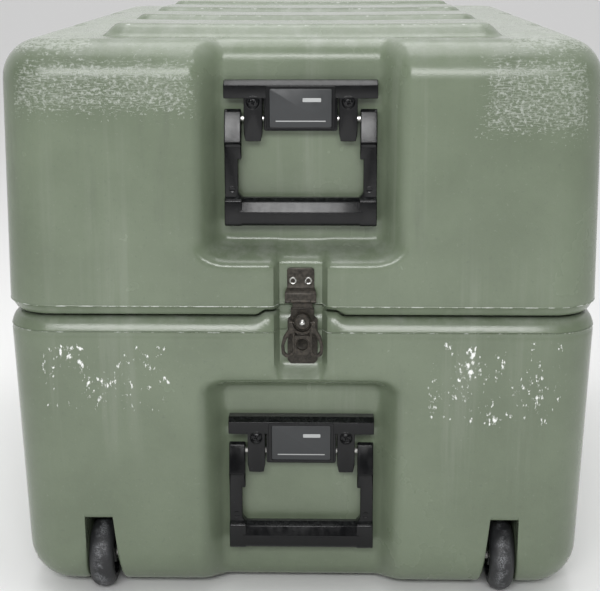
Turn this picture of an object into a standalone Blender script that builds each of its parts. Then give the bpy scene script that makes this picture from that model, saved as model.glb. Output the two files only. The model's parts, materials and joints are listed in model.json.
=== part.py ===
"""Rotationally moulded equipment case: lift-off lid, base, recessed handles, twist latches, wheels.

Metres, +Z up. The case stands on z = 0, centred on x = 0 and y = 0, with its wheeled end at -Y.
"""
import math

import bmesh
import bpy
from mathutils import Matrix, Vector

# Overall size, measured at the parting line between lid and base.
CASE_WIDTH = 0.602
CASE_LENGTH = 0.830
PARTING_HEIGHT = 0.316      # floor to parting line
WALL = 0.006
GAP = 0.0003                # clearance kept between touching pieces

# Moulded shells, heights measured up from the parting line.
CORNER_RADIUS = 0.050
CORNER_STEPS = 5
FILLET_STEPS = 4
LID_LIP = -0.005
LID_CREASE = 0.005
LID_FACE_TOP = 0.228
LID_TOP = 0.267
LID_DRAFT = math.tan(math.radians(0.9))
BASE_RIM = -0.008
BASE_CREASE = -0.022
BASE_FACE_BOTTOM = -0.266
BASE_BOTTOM = -0.311
BASE_DRAFT = math.tan(math.radians(1.5))
FLANGE_INSET = 0.028        # inner edge of the rim flange
FLANGE_HEIGHT = 0.012
LID_FLANGE_ROOT = 0.034     # where the flange has blended into the wall
TONGUE_INSET = 0.022        # middle of the tongue and of the gasket groove
TONGUE_WIDTH = 0.0034
TONGUE_TOP = 0.0009
GROOVE_WIDTH = 0.005
GROOVE_TOP = 0.006
GASKET_BOTTOM = 0.0012

# Stacking pads on the lid, matching channels and foot ribs under the base.
PAD_COUNT = 4
PAD_PITCH = 0.193
PAD_LENGTH = 0.115
PAD_HALF_WIDTH = 0.202
PAD_HEIGHT = 0.013
PAD_PLAY = 0.003
CHANNEL_DEPTH = 0.009
FOOT_LENGTH = 0.060
FOOT_HALF_WIDTH = 0.190

# Handle recesses and handles.
RECESS_DEPTH = 0.038
RECESS_FACE_HALF = 0.1005
RECESS_FLOOR_HALF = 0.081
LID_RECESS_FACE_BOTTOM = 0.0508
LID_RECESS_FLOOR_BOTTOM = 0.064
BASE_RECESS_FACE_TOP = -0.0738
BASE_RECESS_FLOOR_TOP = -0.087
HANDLE_PIVOT_DEPTH = 0.028
LID_HANDLE_PIVOT = 0.190
BASE_HANDLE_PIVOT = -0.1575
ROD_RADIUS = 0.003
ROD_HALF = 0.0715

# Latch channels and twist latches.
CHANNEL_FACE_HALF = 0.027
CHANNEL_FLOOR_HALF = 0.0215
LATCH_DEPTH = 0.015
CHANNEL_END_SLOPE = 0.012
BASE_CHANNEL_BOTTOM = -0.068
LID_CHANNEL_TOP = 0.062
CHUTE_DEPTH = 0.034         # side channels run on up through the lid's top edge
CHUTE_FACE_HALF = 0.031
CHUTE_FLOOR_HALF = 0.0195
CHUTE_FACE_BOTTOM = 0.046
SIDE_LATCH_SPACING = 0.270
LATCH_STEP = 0.0018         # the base half of each latch sits this far to one side
HUB_HEIGHT = -0.0107
LATCH_THROW = 0.007

# Wheels at the lower corners of one end.
WHEEL_RADIUS = 0.0375
WHEEL_WIDTH = 0.026
WHEEL_OFFSET = 0.212
AXLE_DEPTH = 0.038
AXLE_HEIGHT = WHEEL_RADIUS - PARTING_HEIGHT
AXLE_RADIUS = 0.005
WHEEL_SLOT_TOP = -0.227
WHEEL_SLOT_DEPTH = 0.081
WHEEL_SLOT_LEAN = 0.008     # the inner wall leans away from the wheel
WHEEL_PLAY = 0.0012
BOLT_POCKET_RADIUS = 0.0125
BOLT_POCKET_FLOOR = 0.2785
BOLT_HEAD_RADIUS = 0.0085
BOLT_HEAD_HEIGHT = 0.006
BOLT_INNER_END = 0.1785
OUTSIDE = 0.010             # how far cutters reach past a face

QUARTER = math.pi / 2


def clear_scene():
    for item in list(bpy.data.objects):
        bpy.data.objects.remove(item, do_unlink=True)


def make_material(name, colour, roughness, metallic=0.0):
    material = bpy.data.materials.new(name)
    material.use_nodes = True
    shader = material.node_tree.nodes["Principled BSDF"]
    shader.inputs["Base Color"].default_value = (*colour, 1.0)
    shader.inputs["Roughness"].default_value = roughness
    shader.inputs["Metallic"].default_value = metallic
    material.diffuse_color = (*colour, 1.0)
    return material


def make_mesh(name, points, faces):
    mesh = bpy.data.meshes.new(name)
    mesh.from_pydata([tuple(point) for point in points], [], faces)
    builder = bmesh.new()
    builder.from_mesh(mesh)
    bmesh.ops.recalc_face_normals(builder, faces=builder.faces)
    builder.to_mesh(mesh)
    builder.free()
    return mesh


def place(name, mesh, seat=None, location=(0.0, 0.0, 0.0), material=None):
    """Put a mesh in the scene, on a seat when one is given."""
    item = bpy.data.objects.new(name, mesh)
    bpy.context.scene.collection.objects.link(item)
    item.location = location
    item.parent = seat
    if material is not None:
        mesh.materials.clear()
        mesh.materials.append(material)
    return item


def make_seat(name, location, turn):
    """An empty on a wall: x runs along the wall, y goes inward, z is height above the parting line."""
    seat = bpy.data.objects.new(name, None)
    bpy.context.scene.collection.objects.link(seat)
    seat.location = location
    seat.rotation_euler = (0.0, 0.0, turn)
    seat.empty_display_size = 0.05
    return seat


def hide_cutter(cutter):
    cutter.hide_render = True
    cutter.display_type = 'WIRE'


def combine(item, cutter, operation):
    """Cut, join or intersect with a hidden cutter object."""
    hide_cutter(cutter)
    step = item.modifiers.new(cutter.name, 'BOOLEAN')
    step.operation = operation
    step.solver = 'EXACT'
    step.object = cutter


def finished_mesh(name, item):
    """The mesh of an object with its modifiers applied; the object and its cutters are then removed."""
    cutters = [step.object for step in item.modifiers]
    bpy.context.view_layer.update()
    evaluated = item.evaluated_get(bpy.context.evaluated_depsgraph_get())
    mesh = bpy.data.meshes.new_from_object(evaluated)
    mesh.name = name
    for old in [item] + cutters:
        bpy.data.objects.remove(old, do_unlink=True)
    return mesh


def smooth(mesh, degrees=35.0):
    mesh.shade_smooth()
    mesh.set_sharp_from_angle(angle=math.radians(degrees))


# ---- solids ----

def loft(name, rings):
    """A closed solid through rings of equal point count, from the lowest ring to the highest."""
    count = len(rings[0])
    points = [point for ring in rings for point in ring]
    faces = []
    for level in range(len(rings) - 1):
        low = level * count
        high = low + count
        for i in range(count):
            j = (i + 1) % count
            faces.append((low + i, low + j, high + j, high + i))
    faces.append(tuple(reversed(range(count))))
    faces.append(tuple(range(len(points) - count, len(points))))
    return make_mesh(name, points, faces)


def closed_band(name, rings):
    """A ring-shaped solid: rings joined in turn, the last one back to the first."""
    count = len(rings[0])
    points = [point for ring in rings for point in ring]
    faces = []
    for level in range(len(rings)):
        low = level * count
        high = ((level + 1) % len(rings)) * count
        for i in range(count):
            j = (i + 1) % count
            faces.append((low + i, low + j, high + j, high + i))
    return make_mesh(name, points, faces)


def corner_ring(inset, height, radius):
    """A rounded rectangle, inset from the outline of the case at the parting line."""
    half_x = CASE_WIDTH / 2 - inset
    half_y = CASE_LENGTH / 2 - inset
    ring = []
    for quarter, (side_x, side_y) in enumerate([(1, 1), (-1, 1), (-1, -1), (1, -1)]):
        centre_x = side_x * (half_x - radius)
        centre_y = side_y * (half_y - radius)
        for step in range(CORNER_STEPS + 1):
            angle = QUARTER * (quarter + step / CORNER_STEPS)
            x = centre_x + radius * math.cos(angle)
            y = centre_y + radius * math.sin(angle)
            ring.append((x, y, height + PARTING_HEIGHT))
    return ring


def frustum(name, near, far):
    """A block between two rectangles (x0, x1, z0, z1, y): sloping sides between two depths."""
    points = []
    for x0, x1, z0, z1, y in (near, far):
        points += [(x0, y, z0), (x1, y, z0), (x1, y, z1), (x0, y, z1)]
    faces = [(0, 1, 2, 3), (4, 5, 6, 7), (0, 1, 5, 4), (1, 2, 6, 5), (2, 3, 7, 6), (3, 0, 4, 7)]
    return make_mesh(name, points, faces)


def block(name, x0, x1, y0, y1, z0, z1):
    return frustum(name, (x0, x1, z0, z1, y0), (x0, x1, z0, z1, y1))


def prism(name, outline, low, high, axis):
    """Extrude an outline along an axis: X takes (y, z) points, Y takes (x, z) points."""
    if axis == 'X':
        rings = [[(at, a, b) for a, b in outline] for at in (low, high)]
    else:
        rings = [[(a, at, b) for a, b in outline] for at in (low, high)]
    return loft(name, rings)


def turned(name, profile, segments, axis):
    """Turn a profile of (along, radius) points about an axis; it is closed by caps or by itself."""
    hollow = all(radius > 0.0 for along, radius in profile)
    rings = []
    for along, radius in profile:
        ring = []
        for i in range(segments):
            angle = 2 * math.pi * i / segments
            a = radius * math.cos(angle)
            b = radius * math.sin(angle)
            ring.append((along, a, b) if axis == 'X' else (a, along, b))
        rings.append(ring)
    if hollow:
        return closed_band(name, rings)
    ends = [rings[0], rings[-1]]
    for end, (along, radius) in zip(ends, (profile[0], profile[-1])):
        if radius == 0.0:
            rings.remove(end)
    return loft(name, rings)


def cylinder(name, low, high, radius, segments, axis, centre=(0.0, 0.0)):
    mesh = turned(name, [(low, 0.0), (low, radius), (high, radius), (high, 0.0)], segments, axis)
    shift = (0.0, centre[0], centre[1]) if axis == 'X' else (centre[0], 0.0, centre[1])
    mesh.transform(Matrix.Translation(Vector(shift)))
    return mesh


def arc(centre, radius, start, end, steps):
    """Points on an arc, angles in degrees from the first axis."""
    points = []
    for step in range(steps + 1):
        angle = math.radians(start + (end - start) * step / steps)
        points.append((centre[0] + radius * math.cos(angle), centre[1] + radius * math.sin(angle)))
    return points


# ---- shells ----

def lid_rings(offset):
    """Outer surface of the lid, or the surface a wall thickness inside it."""
    face_inset = LID_DRAFT * (LID_FACE_TOP - LID_CREASE) + offset
    fillet = LID_TOP - LID_FACE_TOP - offset
    corner = CORNER_RADIUS - offset
    rings = [corner_ring(face_inset, LID_FACE_TOP, corner)]
    for step in range(1, FILLET_STEPS + 1):
        angle = QUARTER * step / FILLET_STEPS
        inset = fillet * (1 - math.cos(angle))
        rings.append(corner_ring(face_inset + inset, LID_FACE_TOP + fillet * math.sin(angle), corner - inset))
    return rings


def base_rings(offset):
    """Outer surface of the base below its rim, or the surface a wall thickness inside it."""
    face_inset = BASE_DRAFT * (BASE_CREASE - BASE_FACE_BOTTOM) + offset
    fillet = BASE_FACE_BOTTOM - BASE_BOTTOM - offset
    corner = CORNER_RADIUS - offset
    rings = [corner_ring(face_inset, BASE_FACE_BOTTOM, corner)]
    for step in range(1, FILLET_STEPS + 1):
        angle = QUARTER * step / FILLET_STEPS
        inset = fillet * (1 - math.cos(angle))
        rings.append(corner_ring(face_inset + inset, BASE_FACE_BOTTOM - fillet * math.sin(angle), corner - inset))
    return list(reversed(rings))


def pad_centres():
    first = -(PAD_COUNT - 1) / 2 * PAD_PITCH
    return [first + i * PAD_PITCH for i in range(PAD_COUNT)]


def raised_block(name, centre_y, half_x, length, low, high, slope):
    """A block with sloping sides; the sides close in by the slope between its two heights."""
    half_y = length / 2
    rings = []
    for height, inset in ((low, 0.0), (high, slope)):
        x = half_x - inset
        y0 = centre_y - half_y + inset
        y1 = centre_y + half_y - inset
        ring = [(-x, y0), (x, y0), (x, y1), (-x, y1)]
        rings.append([(px, py, height + PARTING_HEIGHT) for px, py in ring])
    return loft(name, rings)


def handle_recess(name, seat, face_edge, floor_edge, open_edge, grow):
    """Cutter for a handle recess that runs out through the top of the lid or the bottom of the base."""
    sign = 1.0 if open_edge > 0 else -1.0
    spread = (RECESS_FACE_HALF - RECESS_FLOOR_HALF) / RECESS_DEPTH
    rise = (floor_edge - face_edge) / RECESS_DEPTH
    ring = []
    for depth in (-OUTSIDE, RECESS_DEPTH + grow):
        half = RECESS_FLOOR_HALF + spread * (RECESS_DEPTH + grow - depth) + grow
        edge = floor_edge - rise * (RECESS_DEPTH + grow - depth) - sign * grow
        low, high = sorted((edge, open_edge))
        ring.append((-half, half, low, high, depth))
    return place(name, frustum(name, *ring), seat)


def latch_channel(name, seat, low, high, depth, grow):
    """Cutter for a narrow channel with sloping sides."""
    spread = (CHANNEL_FACE_HALF - CHANNEL_FLOOR_HALF) / LATCH_DEPTH
    half_floor = CHANNEL_FLOOR_HALF + grow
    half_near = half_floor + spread * (LATCH_DEPTH + OUTSIDE)
    near = (-half_near, half_near, low - CHANNEL_END_SLOPE - grow, high + grow, -OUTSIDE)
    far = (-half_floor, half_floor, low - grow, high + grow, depth + grow)
    return place(name, frustum(name, near, far), seat)


def side_chute(name, seat, grow):
    """Cutter for the deeper part of a side channel, from the latch up through the lid's top edge."""
    half_floor = CHUTE_FLOOR_HALF + grow
    half_near = CHUTE_FACE_HALF + grow
    top = LID_TOP + 0.030
    near = (-half_near, half_near, CHUTE_FACE_BOTTOM - grow, top, -OUTSIDE)
    far = (-half_floor, half_floor, LID_CHANNEL_TOP - grow, top, CHUTE_DEPTH + grow)
    return place(name, frustum(name, near, far), seat)


def wheel_slot(name, seat, side, grow):
    """Cutter for a wheel slot: straight outer wall, sloping inner wall, rounded roof."""
    outer = WHEEL_OFFSET + WHEEL_WIDTH / 2 + 0.002 + grow
    inner_top = WHEEL_OFFSET - WHEEL_WIDTH / 2 - WHEEL_PLAY - grow
    inner_low = inner_top - WHEEL_SLOT_LEAN
    depth = WHEEL_SLOT_DEPTH + grow
    top = WHEEL_SLOT_TOP + grow
    bottom = BASE_BOTTOM - 0.020
    profile = [(-OUTSIDE, bottom), (depth, bottom), (depth, top - 0.030), (depth - 0.016, top - 0.008),
               (depth - 0.035, top), (-OUTSIDE, top)]
    rings = []
    for edge in ('inner', 'outer'):
        ring = []
        for y, z in profile:
            lean = (top - z) / (top - bottom)
            x = outer if edge == 'outer' else inner_top + (inner_low - inner_top) * lean
            ring.append((side * x, y, z))
        rings.append(ring)
    return place(name, loft(name, rings), seat)


def axle_bore(name, seat, side, radius, inner, outer):
    low, high = sorted((side * inner, side * outer))
    mesh = cylinder(name, low, high, radius, 12, 'X', (AXLE_DEPTH, AXLE_HEIGHT))
    return place(name, mesh, seat)


def groove_band(name, width, low, high):
    inner = TONGUE_INSET + width / 2
    outer = TONGUE_INSET - width / 2
    rings = [corner_ring(outer, low, CORNER_RADIUS - outer), corner_ring(outer, high, CORNER_RADIUS - outer),
             corner_ring(inner, high, CORNER_RADIUS - inner), corner_ring(inner, low, CORNER_RADIUS - inner)]
    return closed_band(name, rings)


def make_lid(seats, material):
    lip = corner_ring(0.0015, LID_LIP, CORNER_RADIUS)
    crease = corner_ring(0.0, LID_CREASE, CORNER_RADIUS)
    outside = place("lid_outside", loft("lid_outside", [lip, crease] + lid_rings(0.0)))
    opening = CORNER_RADIUS - FLANGE_INSET
    mouth = [corner_ring(FLANGE_INSET, LID_LIP - 0.015, opening), corner_ring(FLANGE_INSET, FLANGE_HEIGHT, opening),
             corner_ring(WALL + 0.0005, LID_FLANGE_ROOT, CORNER_RADIUS - WALL)]
    inside = place("lid_inside", loft("lid_inside", mouth + lid_rings(WALL)))
    for i, y in enumerate(pad_centres()):
        pad = raised_block(f"pad_{i}", y, PAD_HALF_WIDTH + 0.001, PAD_LENGTH + 0.002,
                           LID_TOP - 0.001, LID_TOP + PAD_HEIGHT, PAD_HEIGHT + 0.001)
        combine(outside, place(f"pad_{i}", pad), 'UNION')
        hollow = raised_block(f"pad_hollow_{i}", y, PAD_HALF_WIDTH - WALL, PAD_LENGTH - 2 * WALL,
                              LID_TOP - WALL - 0.001, LID_TOP + PAD_HEIGHT - WALL, PAD_HEIGHT + 0.001)
        combine(inside, place(f"pad_hollow_{i}", hollow), 'UNION')
    for body, grow in ((outside, 0.0), (inside, WALL)):
        for end in ("front", "back"):
            seat = seats[end]
            combine(body, handle_recess(f"lid_recess_{end}_{grow}", seat, LID_RECESS_FACE_BOTTOM,
                                        LID_RECESS_FLOOR_BOTTOM, LID_TOP + 0.040, grow), 'DIFFERENCE')
        for name, seat in seats.items():
            combine(body, latch_channel(f"lid_channel_{name}_{grow}", seat, -0.030, LID_CHANNEL_TOP,
                                        LATCH_DEPTH, grow), 'DIFFERENCE')
            if name not in ("front", "back"):
                combine(body, side_chute(f"chute_{name}_{grow}", seat, grow), 'DIFFERENCE')
    inner_cutters = [step.object for step in inside.modifiers]
    combine(outside, inside, 'DIFFERENCE')
    groove = place("gasket_groove", groove_band("gasket_groove", GROOVE_WIDTH, LID_LIP - 0.005, GROOVE_TOP))
    combine(outside, groove, 'DIFFERENCE')
    mesh = finished_mesh("lid_shell", outside)
    for cutter in inner_cutters:
        bpy.data.objects.remove(cutter, do_unlink=True)
    smooth(mesh)
    return place("lid_shell", mesh, material=material)


def make_base(seats, material):
    rim = [corner_ring(0.0, BASE_CREASE, CORNER_RADIUS), corner_ring(0.0, -0.016, CORNER_RADIUS),
           corner_ring(0.002, -0.0105, CORNER_RADIUS - 0.002), corner_ring(0.006, BASE_RIM, CORNER_RADIUS - 0.006)]
    outside = place("base_outside", loft("base_outside", base_rings(0.0) + rim))
    opening = CORNER_RADIUS - FLANGE_INSET
    flange_low = BASE_RIM - FLANGE_HEIGHT
    mouth = [corner_ring(WALL + 0.0005, flange_low - 0.022, CORNER_RADIUS - WALL),
             corner_ring(FLANGE_INSET, flange_low, opening), corner_ring(FLANGE_INSET, 0.010, opening)]
    inside = place("base_inside", loft("base_inside", base_rings(WALL) + mouth))
    for i, y in enumerate(pad_centres()):
        for body, grow in ((outside, 0.0), (inside, WALL)):
            channel = raised_block(f"channel_{i}_{grow}", y, PAD_HALF_WIDTH + PAD_PLAY + grow,
                                   PAD_LENGTH + 2 * (PAD_PLAY + grow), BASE_BOTTOM - 0.010 + grow,
                                   BASE_BOTTOM + CHANNEL_DEPTH + grow, 0.010)
            combine(body, place(f"channel_{i}_{grow}", channel), 'DIFFERENCE')
    for i in range(PAD_COUNT - 1):
        y = (pad_centres()[i] + pad_centres()[i + 1]) / 2
        foot = raised_block(f"foot_{i}", y, FOOT_HALF_WIDTH, FOOT_LENGTH, -PARTING_HEIGHT, BASE_BOTTOM + 0.002, -0.004)
        combine(outside, place(f"foot_{i}", foot), 'UNION')
    for body, grow in ((outside, 0.0), (inside, WALL)):
        for end in ("front", "back"):
            combine(body, handle_recess(f"base_recess_{end}_{grow}", seats[end], BASE_RECESS_FACE_TOP,
                                        BASE_RECESS_FLOOR_TOP, BASE_BOTTOM - 0.030, grow), 'DIFFERENCE')
        for name, seat in seats.items():
            combine(body, latch_channel(f"base_channel_{name}_{grow}", seat, BASE_CHANNEL_BOTTOM + 0.008, 0.030,
                                        LATCH_DEPTH, grow), 'DIFFERENCE')
        for side in (-1, 1):
            combine(body, wheel_slot(f"wheel_slot_{side}_{grow}", seats["front"], side, grow), 'DIFFERENCE')
            combine(body, axle_bore(f"bolt_pocket_{side}_{grow}", seats["front"], side, BOLT_POCKET_RADIUS + grow,
                                    BOLT_POCKET_FLOOR - grow, CASE_WIDTH / 2 + OUTSIDE), 'DIFFERENCE')
            combine(body, axle_bore(f"axle_bore_{side}_{grow}", seats["front"], side, AXLE_RADIUS + GAP + grow,
                                    BOLT_INNER_END - 0.0005 - grow, BOLT_POCKET_FLOOR + OUTSIDE), 'DIFFERENCE')
    inner_cutters = [step.object for step in inside.modifiers]
    combine(outside, inside, 'DIFFERENCE')
    tongue = place("tongue", groove_band("tongue", TONGUE_WIDTH, BASE_RIM - 0.004, TONGUE_TOP))
    combine(outside, tongue, 'UNION')
    mesh = finished_mesh("base_shell", outside)
    for cutter in inner_cutters:
        bpy.data.objects.remove(cutter, do_unlink=True)
    smooth(mesh)
    return place("base_shell", mesh, material=material)


def make_gasket(material):
    width = GROOVE_WIDTH - 2 * GAP
    return place("lid_gasket", groove_band("lid_gasket", width, GASKET_BOTTOM, GROOVE_TOP - GAP), material=material)


# ---- handles: every shape is measured from the pivot axis ----

def rod_cutter(radius, half):
    return place("rod_cutter", cylinder("rod_cutter", -half, half, radius, 12, 'X'))


def bracket_mesh():
    back = RECESS_DEPTH - GAP - HANDLE_PIVOT_DEPTH
    front = -0.008
    hood = prism("hood", [(back, 0.0374), (front + 0.007, 0.0374), (front, 0.0333), (front, 0.016), (back, 0.016)],
                 -0.0757, 0.0757, 'X')
    bracket = place("bracket", hood)
    centre = block("centre", -0.0362, 0.0362, front + 0.0004, back - 0.0002, -0.0116, 0.0325)
    combine(bracket, place("centre", centre), 'UNION')
    for side in (-1, 1):
        x0, x1 = sorted((side * 0.0377, side * 0.0558))
        lug = prism(f"lug_{side}", [(back - 0.0001, 0.030), (front + 0.0002, 0.030), (front + 0.0002, -0.017),
                                    (front + 0.004, -0.022), (back - 0.0001, -0.022)], x0, x1, 'X')
        combine(bracket, place(f"lug_{side}", lug), 'UNION')
    pocket = block("spring_pocket", -0.0125, 0.0125, -0.006, back + 0.010, -0.008, 0.008)
    combine(bracket, place("spring_pocket", pocket), 'DIFFERENCE')
    combine(bracket, rod_cutter(ROD_RADIUS + GAP, 0.090), 'DIFFERENCE')
    return finished_mesh("handle_bracket", bracket)


def grip_mesh():
    bar_outline = (arc((-0.006, -0.0846), 0.007, 180, 90, 2) + arc((-0.001, -0.0836), 0.006, 90, 0, 2)
                   + arc((-0.001, -0.1006), 0.006, 0, -90, 2) + arc((-0.006, -0.0996), 0.007, -90, -180, 2))
    grip = place("grip", prism("grip", bar_outline, -0.0757, 0.0757, 'X'))
    shoulder_outline = arc((0.0, 0.0), 0.0092, 0, 180, 6) + [(-0.0092, -0.030), (-0.007, -0.037), (0.006, -0.037)]
    for side in (-1, 1):
        x0, x1 = sorted((side * 0.0568, side * 0.0745))
        combine(grip, place(f"shoulder_{side}", prism(f"shoulder_{side}", shoulder_outline, x0, x1, 'X')), 'UNION')
        x0, x1 = sorted((side * 0.0606, side * 0.0741))
        combine(grip, place(f"arm_{side}", block(f"arm_{side}", x0, x1, -0.0066, 0.0046, -0.082, -0.034)), 'UNION')
    combine(grip, rod_cutter(ROD_RADIUS + GAP, ROD_HALF + GAP), 'DIFFERENCE')
    return finished_mesh("handle_grip", grip)


def spring_mesh():
    inner = ROD_RADIUS + GAP
    outer = 0.0050
    return turned("handle_spring", [(-0.012, inner), (-0.012, outer), (0.012, outer), (0.012, inner)], 12, 'X')


def make_handles(seats, materials):
    meshes = {"bracket": bracket_mesh(), "grip": grip_mesh(), "spring": spring_mesh(),
              "rod": cylinder("handle_rod", -ROD_HALF, ROD_HALF, ROD_RADIUS, 12, 'X')}
    finishes = {"bracket": "black_plastic", "grip": "black_plastic", "spring": "bright_steel", "rod": "bright_steel"}
    for end in ("front", "back"):
        for shell, height in (("lid", LID_HANDLE_PIVOT), ("base", BASE_HANDLE_PIVOT)):
            for piece, mesh in meshes.items():
                smooth(mesh)
                place(f"{shell}_{end}_handle_{piece}", mesh, seats[end], (0.0, HANDLE_PIVOT_DEPTH, height),
                      materials[finishes[piece]])


# ---- twist latches: y is depth behind the face of the case, z is height above the parting line ----

def keeper_mesh():
    back = LATCH_DEPTH - GAP
    profile = [(back, 0.042), (0.0127, 0.042), (0.0127, 0.021), (0.0052, 0.017), (0.0052, 0.0082), (0.0072, 0.0075),
               (0.0072, 0.0165), (back, 0.0200)]
    keeper = place("keeper", prism("keeper", profile, -0.0160, 0.0160, 'X'))
    for side in (-1, 1):
        x0, x1 = sorted((side * 0.0138, side * 0.020))
        combine(keeper, place(f"shoulder_{side}", block(f"shoulder_{side}", x0, x1, 0.0, 0.020, 0.0185, 0.050)),
                'DIFFERENCE')
    return finished_mesh("latch_keeper", keeper)


def plate_mesh():
    back = LATCH_DEPTH - GAP
    outline = [(-0.012, -0.0580), (0.012, -0.0580), (0.0155, -0.054), (0.0155, -0.011), (0.009, -0.004),
               (-0.009, -0.004), (-0.0155, -0.011), (-0.0155, -0.054)]
    return prism("latch_plate", outline, 0.0127, back, 'Y')


def link_mesh():
    outline = [(-0.012, -0.030), (0.012, -0.030), (0.012, 0.0022), (0.010, 0.0022), (0.010, 0.009),
               (-0.010, 0.009), (-0.010, 0.0022), (-0.012, 0.0022)]
    link = place("link", prism("link", outline, 0.0087, 0.0107, 'Y'))
    window = block("window", -0.0055, 0.0055, 0.005, 0.015, HUB_HEIGHT - 0.0127, HUB_HEIGHT + 0.005)
    combine(link, place("window", window), 'DIFFERENCE')
    return finished_mesh("latch_link", link)


def hub_mesh():
    """Turned post, cam disc and dome rivet, with a stub on each side for the wing's ears."""
    profile = [(0.0124, 0.0), (0.0124, 0.0045), (0.0082, 0.0045), (0.0082, 0.0086), (-0.0026, 0.0086),
               (-0.0032, 0.0080), (-0.0032, 0.0034), (-0.0044, 0.0026), (-0.0048, 0.0)]
    hub = place("hub", turned("hub", profile[:-1] + [(-0.0048, 0.0012)], 20, 'Y'))
    stubs = cylinder("stubs", -0.0126, 0.0126, 0.0011, 8, 'X', (-0.0019, 0.0))
    combine(hub, place("stubs", stubs), 'UNION')
    return finished_mesh("latch_hub", hub)


def wing_mesh():
    """Butterfly wing lying flat under the hub; its origin is the fold axis through the hub's stubs."""
    half = [(0.0132, 0.0010), (0.0136, -0.0060), (0.0175, -0.0120), (0.0208, -0.0200), (0.0209, -0.0270),
            (0.0180, -0.0335), (0.0130, -0.0357), (0.0080, -0.0345), (0.0045, -0.0312)]
    outline = half + [(-x, z) for x, z in reversed(half)]
    wing = place("wing", prism("wing", outline, -0.0015, 0.0014, 'Y'))
    combine(wing, place("collar", cylinder("collar", -0.010, 0.010, 0.0093, 20, 'Y')), 'DIFFERENCE')
    hollow = block("hollow", -0.0095, 0.0095, -0.010, 0.010, 0.0, 0.010)
    combine(wing, place("hollow", hollow), 'DIFFERENCE')
    for side in (-1, 1):
        x0, x1 = sorted((side * 0.0097, side * 0.0132))
        combine(wing, place(f"ear_{side}", cylinder(f"ear_{side}", x0, x1, 0.0024, 10, 'X')), 'UNION')
        slot = [(0.0115, -0.0105), (0.0150, -0.0150), (0.0178, -0.0210), (0.0178, -0.0280), (0.0140, -0.0320),
                (0.0100, -0.0300), (0.0100, -0.0120)]
        slot = [(side * x, z) for x, z in slot]
        combine(wing, place(f"slot_{side}", prism(f"slot_{side}", slot, -0.010, 0.010, 'Y')), 'DIFFERENCE')
    hole = cylinder("finger_hole", -0.010, 0.010, 0.0064, 14, 'Y', (0.0, -0.0222))
    combine(wing, place("finger_hole", hole), 'DIFFERENCE')
    bore = cylinder("stub_bore", -0.020, 0.020, 0.0011 + GAP, 8, 'X')
    combine(wing, place("stub_bore", bore), 'DIFFERENCE')
    return finished_mesh("latch_wing", wing)


def make_latches(seats, materials):
    step = LATCH_STEP
    pieces = {
        "keeper": (keeper_mesh(), (0.0, 0.0, 0.0)),
        "plate": (plate_mesh(), (step, 0.0, 0.0)),
        "link": (link_mesh(), (step, 0.0, 0.0)),
        "hub": (hub_mesh(), (step, 0.0, HUB_HEIGHT)),
        "wing": (wing_mesh(), (step, -0.0019, HUB_HEIGHT)),
    }
    for name, seat in seats.items():
        for piece, (mesh, location) in pieces.items():
            smooth(mesh)
            place(f"latch_{name}_{piece}", mesh, seat, location, materials["black_oxide"])


# ---- wheels ----

def make_wheels(seat, materials):
    half = WHEEL_WIDTH / 2
    core = 0.0270
    tread = [(-half, core), (-half, WHEEL_RADIUS - 0.007), (-half + 0.003, WHEEL_RADIUS - 0.002),
             (-half + 0.008, WHEEL_RADIUS), (half - 0.008, WHEEL_RADIUS), (half - 0.003, WHEEL_RADIUS - 0.002),
             (half, WHEEL_RADIUS - 0.007), (half, core)]
    rim = core - GAP
    bush = 0.0075
    hub = [(-half, bush + GAP), (-half, 0.012), (-half + 0.006, 0.014), (-half + 0.006, 0.022), (-half, 0.0235),
           (-half, rim), (half, rim), (half, 0.0235), (half - 0.006, 0.022), (half - 0.006, 0.014),
           (half, 0.012), (half, bush + GAP)]
    meshes = {
        "tyre": (turned("wheel_tyre", tread, 32, 'X'), "rubber"),
        "hub": (turned("wheel_hub", hub, 24, 'X'), "black_plastic"),
        "bush": (turned("wheel_bush", [(-half, AXLE_RADIUS + GAP), (-half, bush), (half, bush),
                                       (half, AXLE_RADIUS + GAP)], 16, 'X'), "bright_steel"),
    }
    for side, label in ((-1, "left"), (1, "right")):
        centre = (side * WHEEL_OFFSET, AXLE_DEPTH, AXLE_HEIGHT)
        for piece, (mesh, finish) in meshes.items():
            smooth(mesh)
            place(f"wheel_{label}_{piece}", mesh, seat, centre, materials[finish])
        place(f"wheel_{label}_bolt", bolt_mesh(side), seat, (0.0, AXLE_DEPTH, AXLE_HEIGHT),
              materials["bright_steel"])


def bolt_mesh(side):
    """Axle bolt: round shank with a hexagon head in the side pocket."""
    head = BOLT_POCKET_FLOOR + 0.0005
    low, high = sorted((side * BOLT_INNER_END, side * (head + 0.001)))
    shank = place("bolt", cylinder("bolt", low, high, AXLE_RADIUS, 12, 'X'))
    low, high = sorted((side * head, side * (head + BOLT_HEAD_HEIGHT)))
    combine(shank, place("bolt_head", cylinder("bolt_head", low, high, BOLT_HEAD_RADIUS, 6, 'X')), 'UNION')
    return finished_mesh("wheel_bolt", shank)


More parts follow.
